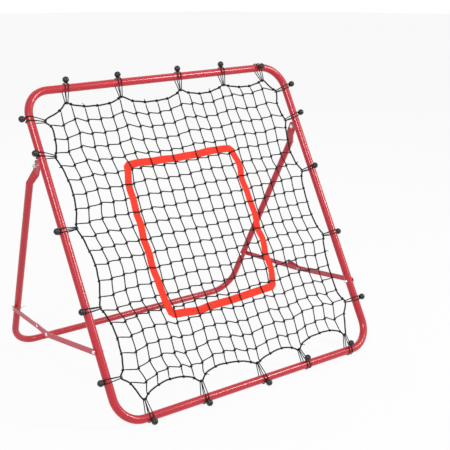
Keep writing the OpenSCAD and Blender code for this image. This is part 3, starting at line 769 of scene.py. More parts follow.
PLANE = FramePlane()
HALF = PLANE.width / 2
STILL = (0.0, 0.0, 0.0, 0.0, 0.0)
BOTTOM = TieSide(
    "bottom", False, 0.0, PLANE.bottom_inset,
    (-40, -20, 3, 21, 40), (-40, -19.5, 2.5, 20, 40.5),
    (50, 50, 50, 98, 98), (0, 0, 0, 14, 14),
    (
        (-375, 66), (-331, 80), (-290, 86), (-243, 80), (-209, 67), (-170, 70), (-126, 81),
        (-85, 80), (-42, 74), (3, 61), (37, 57), (82, 68), (131, 73), (171, 65), (209, 66),
        (250, 78), (297, 82), (340, 80), (382, 68),
    ),
)
RIGHT = TieSide(
    "right", True, HALF, HALF - PLANE.side_inset,
    (15.5, 39, 62.5, 81.5, 92), (15.5, 39, 62, 80.5, 91),
    (35, 0, 98, 35, 35), STILL,
    (
        (421, 118), (433, 166), (420, 201), (421, 245), (421, 289), (427, 334), (436, 378),
        (428, 423), (421, 468), (421, 514), (425, 560), (431, 605), (428, 648), (419, 692),
        (425, 736), (433, 780), (435, 824), (430, 870), (433, 918),
    ),
)
TOP = TieSide(
    "top", False, PLANE.height, PLANE.height - PLANE.top_inset,
    (-35.5, -16.5, 6.5, 24.5, 40.5), (-36.5, -17, 6, 24, 41),
    (20, 15, 20, 20, 98), STILL,
    (
        (-385, 933), (-345, 949), (-302, 939), (-257, 936), (-212, 939), (-175, 949),
        (-129, 937), (-86, 930), (-43, 929), (-1, 932), (44, 945), (85, 943), (127, 936),
        (170, 937), (212, 948), (251, 950), (293, 943), (337, 941), (381, 950),
    ),
)
LEFT = TieSide(
    "left", True, -HALF, -HALF + PLANE.side_inset,
    (13, 33.5, 57.5, 80.5, 91.5), (13, 33.5, 57.5, 79.5, 90.5),
    (12, 30, 20, 30, 0), STILL,
    (
        (-418, 107), (-429, 147), (-420, 193), (-418, 240), (-423, 285), (-437, 324),
        (-434, 366), (-422, 411), (-418, 458), (-424, 502), (-433, 546), (-440, 588),
        (-427, 630), (-421, 675), (-424, 720), (-432, 764), (-435, 806), (-427, 848),
        (-425, 892),
    ),
)
SIDES = (BOTTOM, RIGHT, TOP, LEFT)


# ---------- border rope ----------


@dataclass
class BorderRope:
    """The laid rope that is the net's edge: straight in each loop and slack between them."""

    plane: FramePlane
    strands: int = 3
    pitch: float = 17.0
    step: float = 1.9
    passes: int = 34
    waves: tuple[Lay, ...] = ((0.4, 83.0, 0.0), (0.3, 47.0, 1.0))
    path: Array = field(init=False)
    ahead: Array = field(init=False)

    def __post_init__(self) -> None:
        """Works out the rope's path in the frame's plane."""
        self.path = self._walk()
        self.ahead = units(np.roll(self.path, -1, 0) - np.roll(self.path, 1, 0))

    def _stops(self) -> list[tuple[Array, Optional[Array]]]:
        """Every place the rope passes in order round the net, and its way where a tie holds it."""
        stops: list[tuple[Array, Optional[Array]]] = []
        for side, onward in zip(SIDES, ((1, 0), (0, 1), (-1, 0), (0, -1))):
            axis = 1 if side.upright else 0
            row: list[tuple[Array, Optional[Array]]] = [
                (np.array(mark, float), None) for mark in side.marks
            ]
            ties, knots = side.tie_points(self.plane), side.knot_points(self.plane)
            for tie, knot in zip(ties, knots):
                d = unit(knot - tie)
                w = turned(d)
                row.append((knot, w if w @ np.array(onward) > 0 else -w))
            stops += sorted(row, key=lambda stop: stop[0][axis] * sum(onward))
        return stops

    def _walk(self) -> Array:
        """The whole closed path as (x, rise) rows at even steps."""
        hold = self.plane.pinch / 2 + self.plane.cord_r + 1
        rows: list[Array] = []
        for place, way in self._stops():
            if way is None:
                rows.append(place)
            else:
                rows += [place - hold * way, place, place + hold * way]
        path = np.array(rows)
        run = lengths(path, closed=True)
        n = int(run[-1] / self.step)
        at = np.arange(n) / n * run[-1]
        closed = np.vstack([path, path[:1]])
        even = np.column_stack([np.interp(at, run, closed[:, k]) for k in range(2)])
        knots = np.vstack([side.knot_points(self.plane) for side in SIDES])
        near = np.linalg.norm(even[:, None, :] - knots[None, :, :], axis=2).min(axis=1)
        held = even[near < hold - 1]
        for _ in range(self.passes):
            even = (np.roll(even, 1, 0) + 2 * even + np.roll(even, -1, 0)) / 4
            even[near < hold - 1] = held
        wave = sum(
            size * np.sin(at / run[-1] * TURN * count + phase) for size, count, phase in self.waves
        )
        wave *= np.clip((near - hold) / 8, 0, 1)
        way = units(np.roll(even, -1, 0) - np.roll(even, 1, 0))
        return even + wave[:, None] * turned(way)

    def nearest(self, point: Array) -> int:
        """The number of the path's row that lies nearest to a point."""
        return int(np.argmin(np.linalg.norm(self.path - point, axis=1)))

    def build(self, paints: Paints) -> None:
        """Lays the rope from its strands."""
        kit = MeshKit("rope_of_net", sides=7)
        n = len(self.path)
        length = n * self.step
        turns = round(length / self.pitch)
        away = self.plane.rope_r * 0.47
        flat = turned(self.ahead)
        for k in range(self.strands):
            angle = TURN * (np.arange(n) / n * turns + k / self.strands)
            side = flat * (np.cos(angle) * away)[:, None]
            rows = np.column_stack([self.path + side, np.sin(angle) * away])
            kit.sweep(self.plane.world(rows), self.plane.rope_r - away, closed=True)
        kit.build(
            paints.get(Finish.BORDER_ROPE), "frame", Finish.BORDER_ROPE.slot, ["border_rope"]
        )


# ---------- target ribbon ----------


@dataclass
class TargetRibbon:
    """The webbing square, threaded through the net with its corners cut."""

    plane: FramePlane
    sides: tuple[tuple[tuple[float, float], ...], ...] = (
        ((-218, 738), (-168, 739), (-99, 737), (-14, 736), (56, 738), (126, 741), (183, 737)),
        (
            (183, 737), (189, 700), (193, 672), (190, 645), (186, 617), (189, 585), (193, 550),
            (191, 505), (188, 460), (190, 425), (187, 380), (186, 340), (183, 300), (174, 268),
        ),
        ((174, 268), (122, 266), (63, 263), (-2, 260), (-83, 259), (-127, 256), (-220, 265)),
        (
            (-220, 265), (-229, 305), (-233, 350), (-235, 410), (-236, 480), (-235, 530),
            (-233, 600), (-233, 650), (-228, 690), (-218, 738),
        ),
    )
    fronts: tuple[tuple[int, ...], ...] = (
        (5, 7, 9, 11, 13), (5, 7, 9, 11, 13, 15), (5, 7, 8, 10, 11, 13), (8, 10, 12, 14),
    )
    width: float = 24.0
    thick: float = 1.1
    cut: float = 8.5
    over: float = 2.7
    beside: float = 4.6
    beyond: float = 14.0

    def clear_of(self, grid: Array) -> Array:
        """Keeps the cords that run along the ribbon off its band.

        Args:
            grid: Knot places as an array of columns, rows and (x, rise).

        Returns:
            The grid with those cords moved.
        """
        room = self.width / 2 + self.beside
        moved = grid.copy()
        for k, side in enumerate(self.sides):
            across, along = (0, 1) if k % 2 else (1, 0)
            line = np.array(sorted(side, key=lambda p: p[along]), float)
            for i in range(1, len(grid) - 1):
                for j in range(1, len(grid) - 1):
                    knot = moved[i, j]
                    off = knot[across] - np.interp(knot[along], line[:, along], line[:, across])
                    past = max(line[0, along] - knot[along], knot[along] - line[-1, along], 0.0)
                    if abs(off) < room and past < self.beyond:
                        knot[across] += math.copysign(room - abs(off), off)
        return moved

    def _crossings(self, line: Array, k: int, net: "Net") -> list[tuple[float, float]]:
        """Where cords cross one side: the run along it, and the ribbon's place there."""
        run = lengths(line)
        found = []
        for number, starts, ends in net.cords_across(bool(k % 2)):
            for p, q in zip(starts, ends):
                for m in range(len(line) - 1):
                    d, e, w = line[m + 1] - line[m], q - p, p - line[m]
                    cross = d[0] * e[1] - d[1] * e[0]
                    if abs(cross) < 1e-9:
                        continue
                    t = (w[0] * e[1] - w[1] * e[0]) / cross
                    u = (w[0] * d[1] - w[1] * d[0]) / cross
                    if 0.0 <= t <= 1.0 and 0.0 <= u <= 1.0:
                        behind = number in self.fronts[k]
                        found.append((run[m] + t * (run[m + 1] - run[m]), 1.0 if behind else -1.0))
        return sorted(found)

    def build(self, net: "Net", paints: Paints) -> None:
        """Threads the ribbon through the net."""
        centre: list[Array] = []
        for k, side in enumerate(self.sides):
            line = smooth(side, 6)
            marks = self._crossings(line, k, net)
            run = lengths(line)
            at = np.linspace(self.cut, run[-1] - self.cut, int(run[-1] / 3.2))
            for r in at:
                spot = [np.interp(r, run, line[:, q]) for q in range(2)]
                back = self._weave(r, marks) * self.over
                centre.append(np.array([spot[0], spot[1], back]))
        rows = np.array(centre)
        for _ in range(3):
            rows[:, 2] = (np.roll(rows[:, 2], 1) + 2 * rows[:, 2] + np.roll(rows[:, 2], -1)) / 4
        self._loft(rows, paints)

    def _weave(self, r: float, marks: Sequence[tuple[float, float]]) -> float:
        """The ribbon's place at a run along its side, from -1 in front to 1 behind."""
        if not marks:
            return -1.0
        for (a, low), (b, high) in zip(marks, marks[1:]):
            if a <= r <= b:
                w = (1 - math.cos(math.pi * (r - a) / max(b - a, 1e-6))) / 2
                return low * (1 - w) + high * w
        return marks[0][1] if r < marks[0][0] else marks[-1][1]

    def _loft(self, rows: Array, paints: Paints) -> None:
        """Lofts the band's section along its middle line, mitred where it turns."""
        kit = MeshKit("ribbon_of_target")
        n = len(rows)
        flat = rows[:, :2]
        before = units(flat - np.roll(flat, 1, 0))
        after = units(np.roll(flat, -1, 0) - flat)
        ahead = units(before + after)
        side = turned(ahead)
        mitre = 1 / np.maximum((ahead * after).sum(1), 0.6)
        run = lengths(flat, closed=True)
        across = [-1, -0.96, -0.6, -0.2, 0.2, 0.6, 0.96, 1, 0.96, 0.6, 0.2, -0.2, -0.6, -0.96]
        face = [0, 1, 0.8, 0.85, 0.85, 0.8, 1, 0, -1, -0.8, -0.85, -0.85, -0.8, -1]
        m = len(across)
        frill = 0.35 * np.sin(run[:-1] / 7.3 * TURN) + 0.25 * np.sin(run[:-1] / 4.1 * TURN)
        half = self.width / 2
        rings = np.empty((n, m, 3))
        for k, (u, v) in enumerate(zip(across, face)):
            reach = half * u + (frill * np.sign(u) if abs(u) > 0.9 else 0.0)
            spot = flat + side * (reach * mitre)[:, None]
            cup = 0.25 * (u * u) * np.sin(run[:-1] / 37 * TURN)
            rings[:, k] = np.column_stack([spot, rows[:, 2] + v * self.thick / 2 + cup])
        first = kit.add_points(self.plane.world(rings.reshape(-1, 3)))
        for i in range(n):
            here, there = first + i * m, first + (i + 1) % n * m
            for k in range(m):
                q = (k + 1) % m
                kit.add_face(
                    [here + k, there + k, there + q, here + q],
                    [
                        (run[i], across[k], 0.0),
                        (run[i + 1], across[k], 0.0),
                        (run[i + 1], across[q], 0.0),
                        (run[i], across[q], 0.0),
                    ],
                )
        kit.build(
            paints.get(Finish.TARGET_RIBBON), "frame", Finish.TARGET_RIBBON.slot,
            ["target_ribbon"],
        )


# ---------- net ----------


@dataclass
class Net:
    """Square meshes of knotted twine, hitched to the border rope."""

    plane: FramePlane
    rope: BorderRope
    ribbon: TargetRibbon
    meshes: int = 20
    twine_r: float = 1.75
    knot: float = 1.5
    first: tuple[float, float] = (-386.3, 110.0)
    mesh: tuple[float, float] = (42.7, 43.8)
    fade: float = 3.5
    uneven: float = 0.5
    reach: float = 5.6
    hitch_turns: float = 1.9
    hitch_pitch: float = 2.5
    hitch_r: float = 1.05
    hitch_off: float = 0.85
    slant: tuple[float, float] = (0.6, 0.8)
    grid: Array = field(init=False)

    def __post_init__(self) -> None:
        """Works out where every knot lies."""
        self.grid = self._knots()

    # The two twines of a knot as (along its stroke, across it, to the front, radius).
    BIGHT = (
        (-3.4, 2.2, 0.0, 1.3), (-2.1, 1.15, 0.25, 1.1), (-0.4, 1.0, 0.35, 1.0),
        (1.3, 1.0, 0.4, 1.0), (2.5, 0.75, 0.3, 1.0), (2.95, 0.0, 0.1, 1.0),
        (2.5, -0.75, 0.1, 1.0), (1.3, -1.0, 0.3, 1.0), (-0.4, -1.0, 0.1, 1.0),
        (-2.1, -1.15, -0.1, 1.1), (-3.4, -1.9, 0.0, 1.3),
    )
    WRAP = (
        (3.9, 1.7, -0.5, 1.3), (2.9, 0.7, -1.0, 1.05), (1.4, 0.1, -0.2, 1.0),
        (0.6, -0.8, 1.3, 1.0), (-0.3, -2.0, 0.8, 1.0), (-0.8, -2.1, -0.6, 1.0),
        (-1.0, 0.0, -1.5, 1.0), (-0.7, 2.1, -0.5, 1.0), (0.0, 1.8, 1.0, 1.0),
        (0.9, 0.5, 1.8, 1.0), (2.3, -0.8, 1.5, 1.05), (3.8, -1.9, 0.5, 1.3),
    )

    def _edge(self, side: TieSide) -> Array:
        """The edge knots of one side, on the rope."""
        return np.array([self.rope.path[self.rope.nearest(np.array(m))] for m in side.marks])

    def _knots(self) -> Array:
        """All knots as an array of columns, rows and (x, rise): even inside, bent at the rope."""
        n = self.meshes
        k = np.arange(n + 1)
        x = self.first[0] + self.mesh[0] * (k - 1)
        z = self.first[1] + self.mesh[1] * (k - 1)
        grid = np.stack(np.meshgrid(x, z, indexing="ij"), axis=2)
        rng = random.Random(5)
        edges = {side.name: self._edge(side) for side in SIDES}
        limit = {"bottom": 73.5, "top": 939.0, "left": -427.5, "right": 427.5}
        shift = {}
        for name, edge in edges.items():
            level = name in ("bottom", "top")
            even = grid[1:n, 0].copy() if level else grid[0, 1:n].copy()
            even[:, 1 if level else 0] = limit[name]
            shift[name] = edge - even
        for i in range(1, n):
            for j in range(1, n):
                u, v = i / n, j / n
                grid[i, j] += (
                    shift["bottom"][i - 1] * (1 - v) ** self.fade
                    + shift["top"][i - 1] * v**self.fade
                    + shift["left"][j - 1] * (1 - u) ** self.fade
                    + shift["right"][j - 1] * u**self.fade
                )
                grid[i, j] += (rng.gauss(0, self.uneven), rng.gauss(0, self.uneven))
        grid[1:n, 0], grid[1:n, n] = edges["bottom"], edges["top"]
        grid[0, 1:n], grid[n, 1:n] = edges["left"], edges["right"]
        return self.ribbon.clear_of(grid)

    def _ends(self, i: int, j: int) -> tuple[Array, Array, Array]:
        """A knot's lower and upper ends and its stroke's direction."""
        g = self.grid
        right = unit(g[i + 1, j] - g[i - 1, j])
        up = unit(g[i, j + 1] - g[i, j - 1])
        stroke = unit(self.slant[0] * right + self.slant[1] * up)
        return g[i, j] - self.reach * stroke, g[i, j] + self.reach * stroke, stroke

    def cords_across(self, upright: bool) -> list[tuple[int, list[Array], list[Array]]]:
        """The cords that an upright (or level) ribbon side crosses, with each line's number."""
        n = self.meshes
        lines = []
        for k in range(1, n):
            starts, ends = [], []
            for q in range(1, n - 1):
                i, j = (q, k) if upright else (k, q)
                i2, j2 = (q + 1, k) if upright else (k, q + 1)
                starts.append(self._ends(i, j)[1])
                ends.append(self._ends(i2, j2)[0])
            lines.append((k, starts, ends))
        return lines

    def _knot_rows(self, i: int, j: int, shape: Sequence[Sequence[float]]) -> list[list[float]]:
        """One twine of a knot as rows of (x, rise, back, radius)."""
        _, _, stroke = self._ends(i, j)
        across = turned(stroke)
        rows = []
        for a, b, front, r in shape:
            p = self.grid[i, j] + self.knot * (a * stroke + b * across)
            rows.append([p[0], p[1], -self.knot * front, self.knot * r])
        return rows

    def _hitch(self, i: int, j: int) -> list[list[float]]:
        """Two turns round the rope at an edge knot, ending at the mesh side."""
        k = self.rope.nearest(self.grid[i, j])
        at, way = self.rope.path[k], self.rope.ahead[k]
        n = self.meshes
        inside = self.grid[min(max(i, 1), n - 1), min(max(j, 1), n - 1)] - at
        inward = turned(way)
        inward = inward if inward @ inside > 0 else -inward
        r = self.plane.rope_r + self.hitch_off
        rows = []
        for q in range(19):
            angle = TURN * (self.hitch_turns - q / 18 * self.hitch_turns)
            shift = (angle / TURN - 1.0) * self.hitch_pitch
            p = at + way * shift + inward * (r * math.cos(angle))
            rows.append([p[0], p[1], -r * math.sin(angle), self.hitch_r])
        return rows

    def _span(
        self, start: Sequence[float], end: Sequence[float], rng: random.Random
    ) -> list[list[float]]:
        """The rows between two given ones, with a little slack."""
        a, b = np.array(start[:3]), np.array(end[:3])
        length = np.linalg.norm(b - a)
        steps = max(int(length / 8), 1)
        flat = unit(np.array([-(b - a)[1], (b - a)[0], 0.0]))
        bow, dip = rng.gauss(0, 0.5), rng.gauss(0, 0.4)
        rows = []
        for k in range(1, steps):
            t = k / steps
            p = a + t * (b - a) + 4 * t * (1 - t) * (bow * flat + np.array([0, 0, dip]))
            rows.append([*p, self.twine_r])
        return rows

    def build(self, paints: Paints) -> None:
        """Knots the net: each twine runs from edge to edge in steps, right and then down."""
        n = self.meshes
        rng = random.Random(3)
        kit = MeshKit("net_of_twine", sides=7)
        starts = [(0, j) for j in range(1, n)] + [(i, n) for i in range(1, n)]
        for i, j in starts:
            rows = self._hitch(i, j)
            level = i == 0
            while True:
                i, j = (i + 1, j) if level else (i, j - 1)
                if i == n or j == 0:
                    piece = self._hitch(i, j)[::-1]
                else:
                    piece = self._knot_rows(i, j, self.BIGHT if level else self.WRAP)
                rows += self._span(rows[-1], piece[0], rng) + piece
                if i == n or j == 0:
                    break
                level = not level
            line = smooth(rows, 2)
            kit.sweep(self.plane.world(line[:, :3]), line[:, 3])
        self._tails(kit, rng)
        kit.build(paints.get(Finish.NET_CORD), "frame", Finish.NET_CORD.slot, ["net"])

    def _tails(self, kit: MeshKit, rng: random.Random) -> None:
        """The short cut ends that stand off some of the hitches."""
        n = self.meshes
        edge = [(3, n), (8, n), (14, n), (0, 4), (0, 9), (0, 16), (n, 6), (n, 13), (6, 0), (15, 0)]
        for i, j in edge:
            k = self.rope.nearest(self.grid[i, j])
            at, way = self.rope.path[k], self.rope.ahead[k]
            out = turned(way)
            middle = np.array([0.0, self.plane.height / 2])
            out = -out if out @ (middle - at) > 0 else out
            length = rng.uniform(7, 12)
            lean = rng.uniform(-0.7, 0.7)
            rows = []
            for q in range(6):
                t = q / 5
                p = at + way * (3 + lean * length * t * t) + out * (2.0 + length * t * 0.8)
                rows.append([p[0], p[1], -3.0 - 2.0 * t, 1.2 - 0.35 * t])
            line = smooth(rows, 2)
            kit.sweep(self.plane.world(line[:, :3]), line[:, 3])


# ---------- bungees ----------


@dataclass
class Bungees:
    """The ball bungees of one side."""

    plane: FramePlane
    side: TieSide
    ball_r: float = 10.0

    def _pair(self, k: int) -> tuple[Array, Array]:
        """Where one bungee crosses the tube's axis, and where it holds the rope's."""
        return self.side.tie_points(self.plane)[k], self.side.knot_points(self.plane)[k]

    def _strand(self, tie: Array, knot: Array, s: int) -> tuple[Array, Array]:
        """Where one strand starts on the tube's axis and ends on the rope's."""
        d = unit(knot - tie)
        aside = turned(d)
        tube = self.side.tube_way
        start = tie + s * self.plane.spread / 2 / (aside @ tube) * tube
        return start, knot + s * self.plane.pinch / 2 * aside

    @property
    def loop_r(self) -> float:
        """Radius of the strands' bends round the tube: the steepest still clears it."""
        tilts = []
        for tie, knot in zip(self.side.tie_points(self.plane), self.side.knot_points(self.plane)):
            for s in (-1, 1):
                a, b = self._strand(tie, knot, s)
                tilts.append(math.asin(abs(unit(b - a) @ self.side.tube_way)))
        return (self.plane.tube_r + self.plane.gap) / math.cos(max(tilts)) + self.plane.cord_r

    def _touch(self, depth: float) -> float:
        """Angle at which the straight runs leave the tube's bend."""
        return math.acos((self.loop_r - self.plane.rope_loop_r) / depth)

    def _ball_place(self, k: int) -> tuple[Array, Array, float]:
        """A ball's centre and outward direction as (x, rise, back), and its angle on the loop."""
        tie, knot = self._pair(k)
        depth = float(np.linalg.norm(knot - tie))
        slide = self.side.slides[k]
        turn = math.pi - self._touch(depth) if slide else math.radians(self.side.turns[k])
        inward = slide * math.sin(turn) - self.loop_r * math.cos(turn)
        spread = self.plane.spread / 2
        spread -= inward * (self.plane.spread - self.plane.pinch) / 2 / depth
        lift = math.sqrt((self.ball_r + self.plane.cord_r + self.plane.gap) ** 2 - spread**2)
        way = unit(knot - tie)
        tube = self.side.tube_way
        lead = self.plane.spread / 2 * abs((way @ tube) / (turned(way) @ tube))
        reach = self.loop_r + lift + lead * abs(math.cos(turn))
        x = slide * math.sin(turn) - reach * math.cos(turn)
        z = slide * math.cos(turn) + reach * math.sin(turn)
        centre = np.array([*(tie + x * way), -z])
        out = np.array([*(-math.cos(turn) * way), -math.sin(turn)])
        return centre, out, turn

    def _loop(self, k: int, s: int) -> Array:
        """One closed strand as rows of (x, rise, back)."""
        tie, knot = self._pair(k)
        a, b = self._strand(tie, knot, s)
        depth = float(np.linalg.norm(b - a))
        way = (b - a) / depth
        touch = self._touch(depth)
        big, small = self.loop_r, self.plane.rope_loop_r
        flat = [
            (big * math.cos(t), big * math.sin(t))
            for t in np.linspace(touch, TURN - touch, 26)
        ]
        low = (depth + small * math.cos(-touch), small * math.sin(-touch))
        flat += [self._between(flat[-1], low, t) for t in (0.2, 0.4, 0.6, 0.8)]
        flat += [
            (depth + small * math.cos(t), small * math.sin(t))
            for t in np.linspace(-touch, touch, 11)
        ]
        flat += [self._between(flat[-1], flat[0], t) for t in (0.2, 0.4, 0.6, 0.8)]
        rows = np.array([[*(a + x * way), -z] for x, z in flat])
        centre, out, _ = self._ball_place(k)
        foot = centre - out * (self.ball_r - 0.2)
        aside = np.array([*turned(way), 0.0])
        near = np.exp(-((np.linalg.norm(rows - foot, axis=1) / 8.0) ** 2))
        return rows - s * 1.3 * near[:, None] * aside

    @staticmethod
    def _between(a: tuple[float, float], b: tuple[float, float], t: float) -> tuple[float, float]:
        """A point of the straight line from a to b."""
        return a[0] + t * (b[0] - a[0]), a[1] + t * (b[1] - a[1])

    def _profile(self) -> Array:
        """The ball's outline: a neck at its foot, a mould line, and the knot's hole outside."""
        r = self.ball_r
        foot = ((0.0, 1.6), (2.0, 1.5), (2.5, 0.1), (3.4, -0.1), (3.9, 0.5))
        rows = [(out, -r + up) for out, up in foot]
        for t in np.linspace(24, 86, 10):
            a = math.radians(t)
            rows.append((r * math.sin(a), -r * math.cos(a)))
        rows += [(r, -0.45), (r + 0.14, -0.2), (r + 0.14, 0.2), (r, 0.45)]
        for t in np.linspace(94, 160, 11):
            a = math.radians(t)
            rows.append((r * math.sin(a), -r * math.cos(a)))
        rows += [(2.9, r - 0.35), (2.5, r - 0.7), (2.35, r - 2.4), (0.0, r - 2.6)]
        return np.array(rows)

    def build(self, paints: Paints) -> None:
        """Ties the side's five bungees and seats their balls."""
        cords = MeshKit(f"{self.side.name}_bungee_cords", sides=10)
        balls = MeshKit(f"{self.side.name}_bungee_balls")
        for k in range(len(self.side.ties)):
            centre, out, _ = self._ball_place(k)
            for s in (-1, 1):
                loop = smooth(self._loop(k, s), 2, closed=True)
                cords.sweep(self.plane.world(loop), self.plane.cord_r, closed=True)
            self._stubs(cords, k, centre, out)
            home = self.plane.world([centre])[0]
            axis = self.plane.direction(out)
            balls.lathe(home, axis, self._profile(), 28)
            self._knot(cords, home, unit(axis))
        cords.build(
            paints.get(Finish.ELASTIC_CORD), "frame", Finish.ELASTIC_CORD.slot,
            [f"{self.side.name}_bungees"],
        )
        balls.build(
            paints.get(Finish.BUNGEE_BALL), "frame", Finish.BUNGEE_BALL.slot,
            [f"{self.side.name}_balls"],
        )

    def _stubs(self, kit: MeshKit, k: int, centre: Array, out: Array) -> None:
        """The cord's two ends, which leave the ball's neck and join the strands in front."""
        tie, knot = self._pair(k)
        way = unit(knot - tie)
        aside = np.array([*turned(way), 0.0])
        lead = np.array([*way, 0.0])
        along = unit(lead - (lead @ out) * out)
        foot = centre - out * self.ball_r
        for s in (-1, 1):
            rows = [
                foot + out * 3.0 + s * 1.1 * aside,
                foot + out * 0.4 + s * 1.3 * aside + 0.4 * along,
                foot - out * 0.4 + s * 2.2 * aside + 2.8 * along,
                foot - out * 0.6 + s * 3.9 * aside + 6.0 * along,
                foot - out * 1.3 + s * 5.2 * aside + 9.0 * along,
            ]
            line = smooth(rows, 4)
            kit.sweep(self.plane.world(line), self.plane.cord_r * 0.93)

    def _knot(self, kit: MeshKit, home: Array, axis: Array) -> None:
        """The small knot that shows in the ball's outer hole."""
        side = unit(np.cross(axis, [0.2, 0.5, 0.8]))
        other = np.cross(axis, side)
        rows = []
        for q in range(30):
            t = q / 30 * TURN
            r = 1.0 + 0.35 * math.cos(3 * t)
            rows.append(
                home
                + axis * (self.ball_r - 1.7 + 0.35 * math.sin(3 * t))
                + side * (r * math.cos(2 * t))
                + other * (r * math.sin(2 * t))
            )
        kit.sweep(np.array(rows), 0.62, closed=True)


# ---------- hard pieces ----------


@dataclass(frozen=True)
class Fixings:
    """Fine work on the hard pieces: threads on the bolts and beads at the hinge tabs."""

    plane: FramePlane
    hinge_rise: float = 788.0
    hinge_back: float = 29.5
    hinge_r: float = 3.95
    front_rise: float = 219.0
    brace_r: float = 2.95
    hinge_span: tuple[float, float] = (501.6, 507.4)
    front_span: tuple[float, float] = (466.8, 469.7)
    tab_back: float = 12.35
    pitch: float = 1.0
    ridge: float = 0.32

    def _helix(
        self, kit: MeshKit, centre: Array, span: tuple[float, float], r: float, sign: int
    ) -> None:
        """A thread's ridge round a bolt that lies along X."""
        turns = (span[1] - span[0]) / self.pitch
        rows = []
        for q in range(int(turns * 20) + 1):
            t = q / 20
            angle = TURN * t
            x = sign * (span[0] + self.pitch * t)
            rows.append([x, centre[1] + r * math.cos(angle), centre[2] + r * math.sin(angle)])
        kit.sweep(np.array(rows), self.ridge)

    def build(self, paints: Paints) -> None:
        """Cuts the threads and lays the beads."""
        threads = MeshKit("thread_of_frame_bolts", sides=5)
        hinge = self.plane.world([[0.0, self.hinge_rise, self.hinge_back]])[0]
        front = self.plane.world([[0.0, self.front_rise, 0.0]])[0]
        for sign in (-1, 1):
            self._helix(threads, hinge, self.hinge_span, self.hinge_r, sign)
            self._helix(threads, front, self.front_span, self.brace_r, sign)
        threads.build(paints.get(Finish.FASTENER), "frame", Finish.FASTENER.slot)
        beads = MeshKit("bead_of_hinge_tabs", sides=8)
        rng = random.Random(8)
        for sign in (-1, 1):
            for face, low, length in ((-1, -20, 28), (1, 2, 6)):
                rows = []
                for q in range(25):
                    rise = self.hinge_rise + low + length * q / 24
                    x = sign * (self.plane.width / 2 + face * 1.7)
                    rows.append([x, rise, self.tab_back + rng.gauss(0, 0.08)])
                line = smooth(rows, 3)
                ripple = 1.15 + 0.18 * np.sin(np.arange(len(line)) * 1.3)
                beads.sweep(self.plane.world(line), ripple)
        beads.build(paints.get(Finish.FRAME_RED), "frame", Finish.FRAME_RED.slot)


@dataclass(frozen=True)
class HardParts:
    """The tubes, bars and fasteners, which keep their solids and get their finish."""

    red: tuple[str, ...] = (
        "left_upper_corner", "right_upper_corner", "left_side_tube", "right_side_tube",
        "left_lower_corner", "right_lower_corner", "left_leg", "right_leg",
    )
    braces: tuple[str, ...] = (
        "left_front_bar", "right_front_bar", "left_rear_bar", "right_rear_bar",
    )
    zinc: tuple[str, ...] = (
        "hinge_bolts", "hinge_washers", "hinge_nuts", "front_brace_bolts",
        "front_brace_nuts", "rear_brace_bolts", "rear_brace_washers", "rear_brace_nuts",
        "left_knee_rivet", "right_knee_rivet", "left_knee_cap", "right_knee_cap",
        "left_stop_stud", "right_stop_stud",
    )

    def dress(self, paints: Paints) -> None:
        """Gives each solid its finish."""
        paints.coat(Finish.FRAME_RED, self.red)
        paints.coat(Finish.BRACE_RED, self.braces)
        paints.coat(Finish.FASTENER, self.zinc)
        LOG.info("dressed %d solids", len(self.red + self.braces + self.zinc))


# ---------- studio ----------


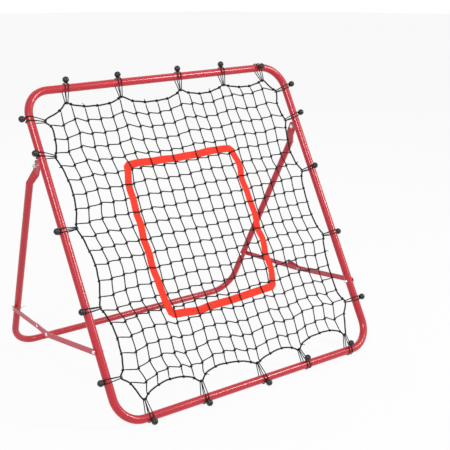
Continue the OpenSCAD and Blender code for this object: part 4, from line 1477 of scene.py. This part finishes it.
@dataclass(frozen=True)
class Studio:
    """Floor, light and camera."""

    azimuth: float = -37.48
    elevation: float = 16.38
    distance: float = 3143.0
    lens: float = 81.36
    target: tuple[float, float, float] = (0.0, 195.0, 438.75)
    aside: float = 22.4
    above: float = 13.6
    sky: float = 0.42
    lamps: tuple[tuple[str, tuple[float, float, float], float, float], ...] = (
        ("key", (-2.4, -2.4, 3.2), 0.8, 66.0),
        ("fill", (2.4, -2.6, 2.5), 0.8, 60.0),
        ("rim", (1.0, 3.2, 2.6), 1.6, 20.0),
    )

    def _camera(self, plane: FramePlane) -> None:
        """Sets the camera at its angle, level, with nothing shifted."""
        a, e = math.radians(self.azimuth), math.radians(self.elevation)
        back = Vector((math.sin(a) * math.cos(e), -math.cos(a) * math.cos(e), math.sin(e)))
        right = Vector((math.cos(a), math.sin(a), 0.0))
        up = back.cross(right)
        target = Vector(self.target) + Vector((0.0, plane.axis_y, plane.axis_z))
        spot = target + back * self.distance + right * self.aside + up * self.above
        data = bpy.data.cameras.new("camera")
        data.lens = self.lens
        data.sensor_width = 36.0
        data.sensor_fit = "HORIZONTAL"
        data.clip_start, data.clip_end = 0.05, 60.0
        camera = bpy.data.objects.new("camera", data)
        camera.location = spot * MM
        camera.rotation_mode = "QUATERNION"
        camera.rotation_quaternion = (-back).to_track_quat("-Z", "Y")
        bpy.context.scene.collection.objects.link(camera)
        bpy.context.scene.camera = camera

    def _world(self) -> None:
        """A soft even sky that reads as white to the camera and in reflections."""
        g = Graph("sky", world=True)
        light, white = (
            g.out(g.node("ShaderNodeBackground", None, {"Color": WHITE, "Strength": strength}))
            for strength in (self.sky, 1.0)
        )
        both = g.node("ShaderNodeMixShader", None, {0: g.seen(), 1: light, 2: white})
        g.node("ShaderNodeOutputWorld", None, {0: g.out(both)})
        bpy.context.scene.world = g.owner

    def _lamp(
        self, name: str, spot: tuple[float, float, float], size: float, power: float
    ) -> None:
        """An area lamp in metres that faces the object's middle."""
        data = bpy.data.lights.new(name, "AREA")
        data.shape = "DISK"
        data.size = size
        data.energy = power
        lamp = bpy.data.objects.new(name, data)
        lamp.location = spot
        way = Vector((0.0, 0.0, 0.45)) - Vector(spot)
        lamp.rotation_mode = "QUATERNION"
        lamp.rotation_quaternion = way.to_track_quat("-Z", "Y")
        bpy.context.scene.collection.objects.link(lamp)

    def _floor(self) -> None:
        """A wide round floor."""
        rings, around, reach = 10, 48, 14.0
        points = [(0.0, 0.0, 0.0)]
        for k in range(1, rings + 1):
            r = reach * (k / rings) ** 1.5
            for q in range(around):
                a = TURN * q / around
                points.append((r * math.cos(a), r * math.sin(a), 0.0))
        faces = [[0, 1 + q, 1 + (q + 1) % around] for q in range(around)]
        for k in range(rings - 1):
            for q in range(around):
                p, n = 1 + k * around, 1 + (k + 1) * around
                faces.append([p + q, n + q, n + (q + 1) % around, p + (q + 1) % around])
        mesh = bpy.data.meshes.new("floor")
        mesh.from_pydata(points, [], faces)
        mesh.materials.append(StudioFloor("floor", (0.92, 0.92, 0.92, 1), 0.9).make())
        floor = bpy.data.objects.new("floor", mesh)
        floor.location.z = -0.0003
        bpy.context.scene.collection.objects.link(floor)

    def build(self, plane: FramePlane) -> None:
        """Sets up the studio."""
        bpy.context.scene.view_settings.view_transform = "Standard"
        self._camera(plane)
        self._world()
        self._floor()
        for lamp in self.lamps:
            self._lamp(*lamp)


def main() -> None:
    logging.basicConfig(level=logging.INFO, format="%(message)s")
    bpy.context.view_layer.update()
    Studio().build(PLANE)
    paints = Paints()
    HardParts().dress(paints)
    Fixings(PLANE).build(paints)
    rope = BorderRope(PLANE)
    rope.build(paints)
    ribbon = TargetRibbon(PLANE)
    net = Net(PLANE, rope, ribbon)
    net.build(paints)
    ribbon.build(net, paints)
    for side in SIDES:
        Bungees(PLANE, side).build(paints)


if __name__ == "__main__":
    main()
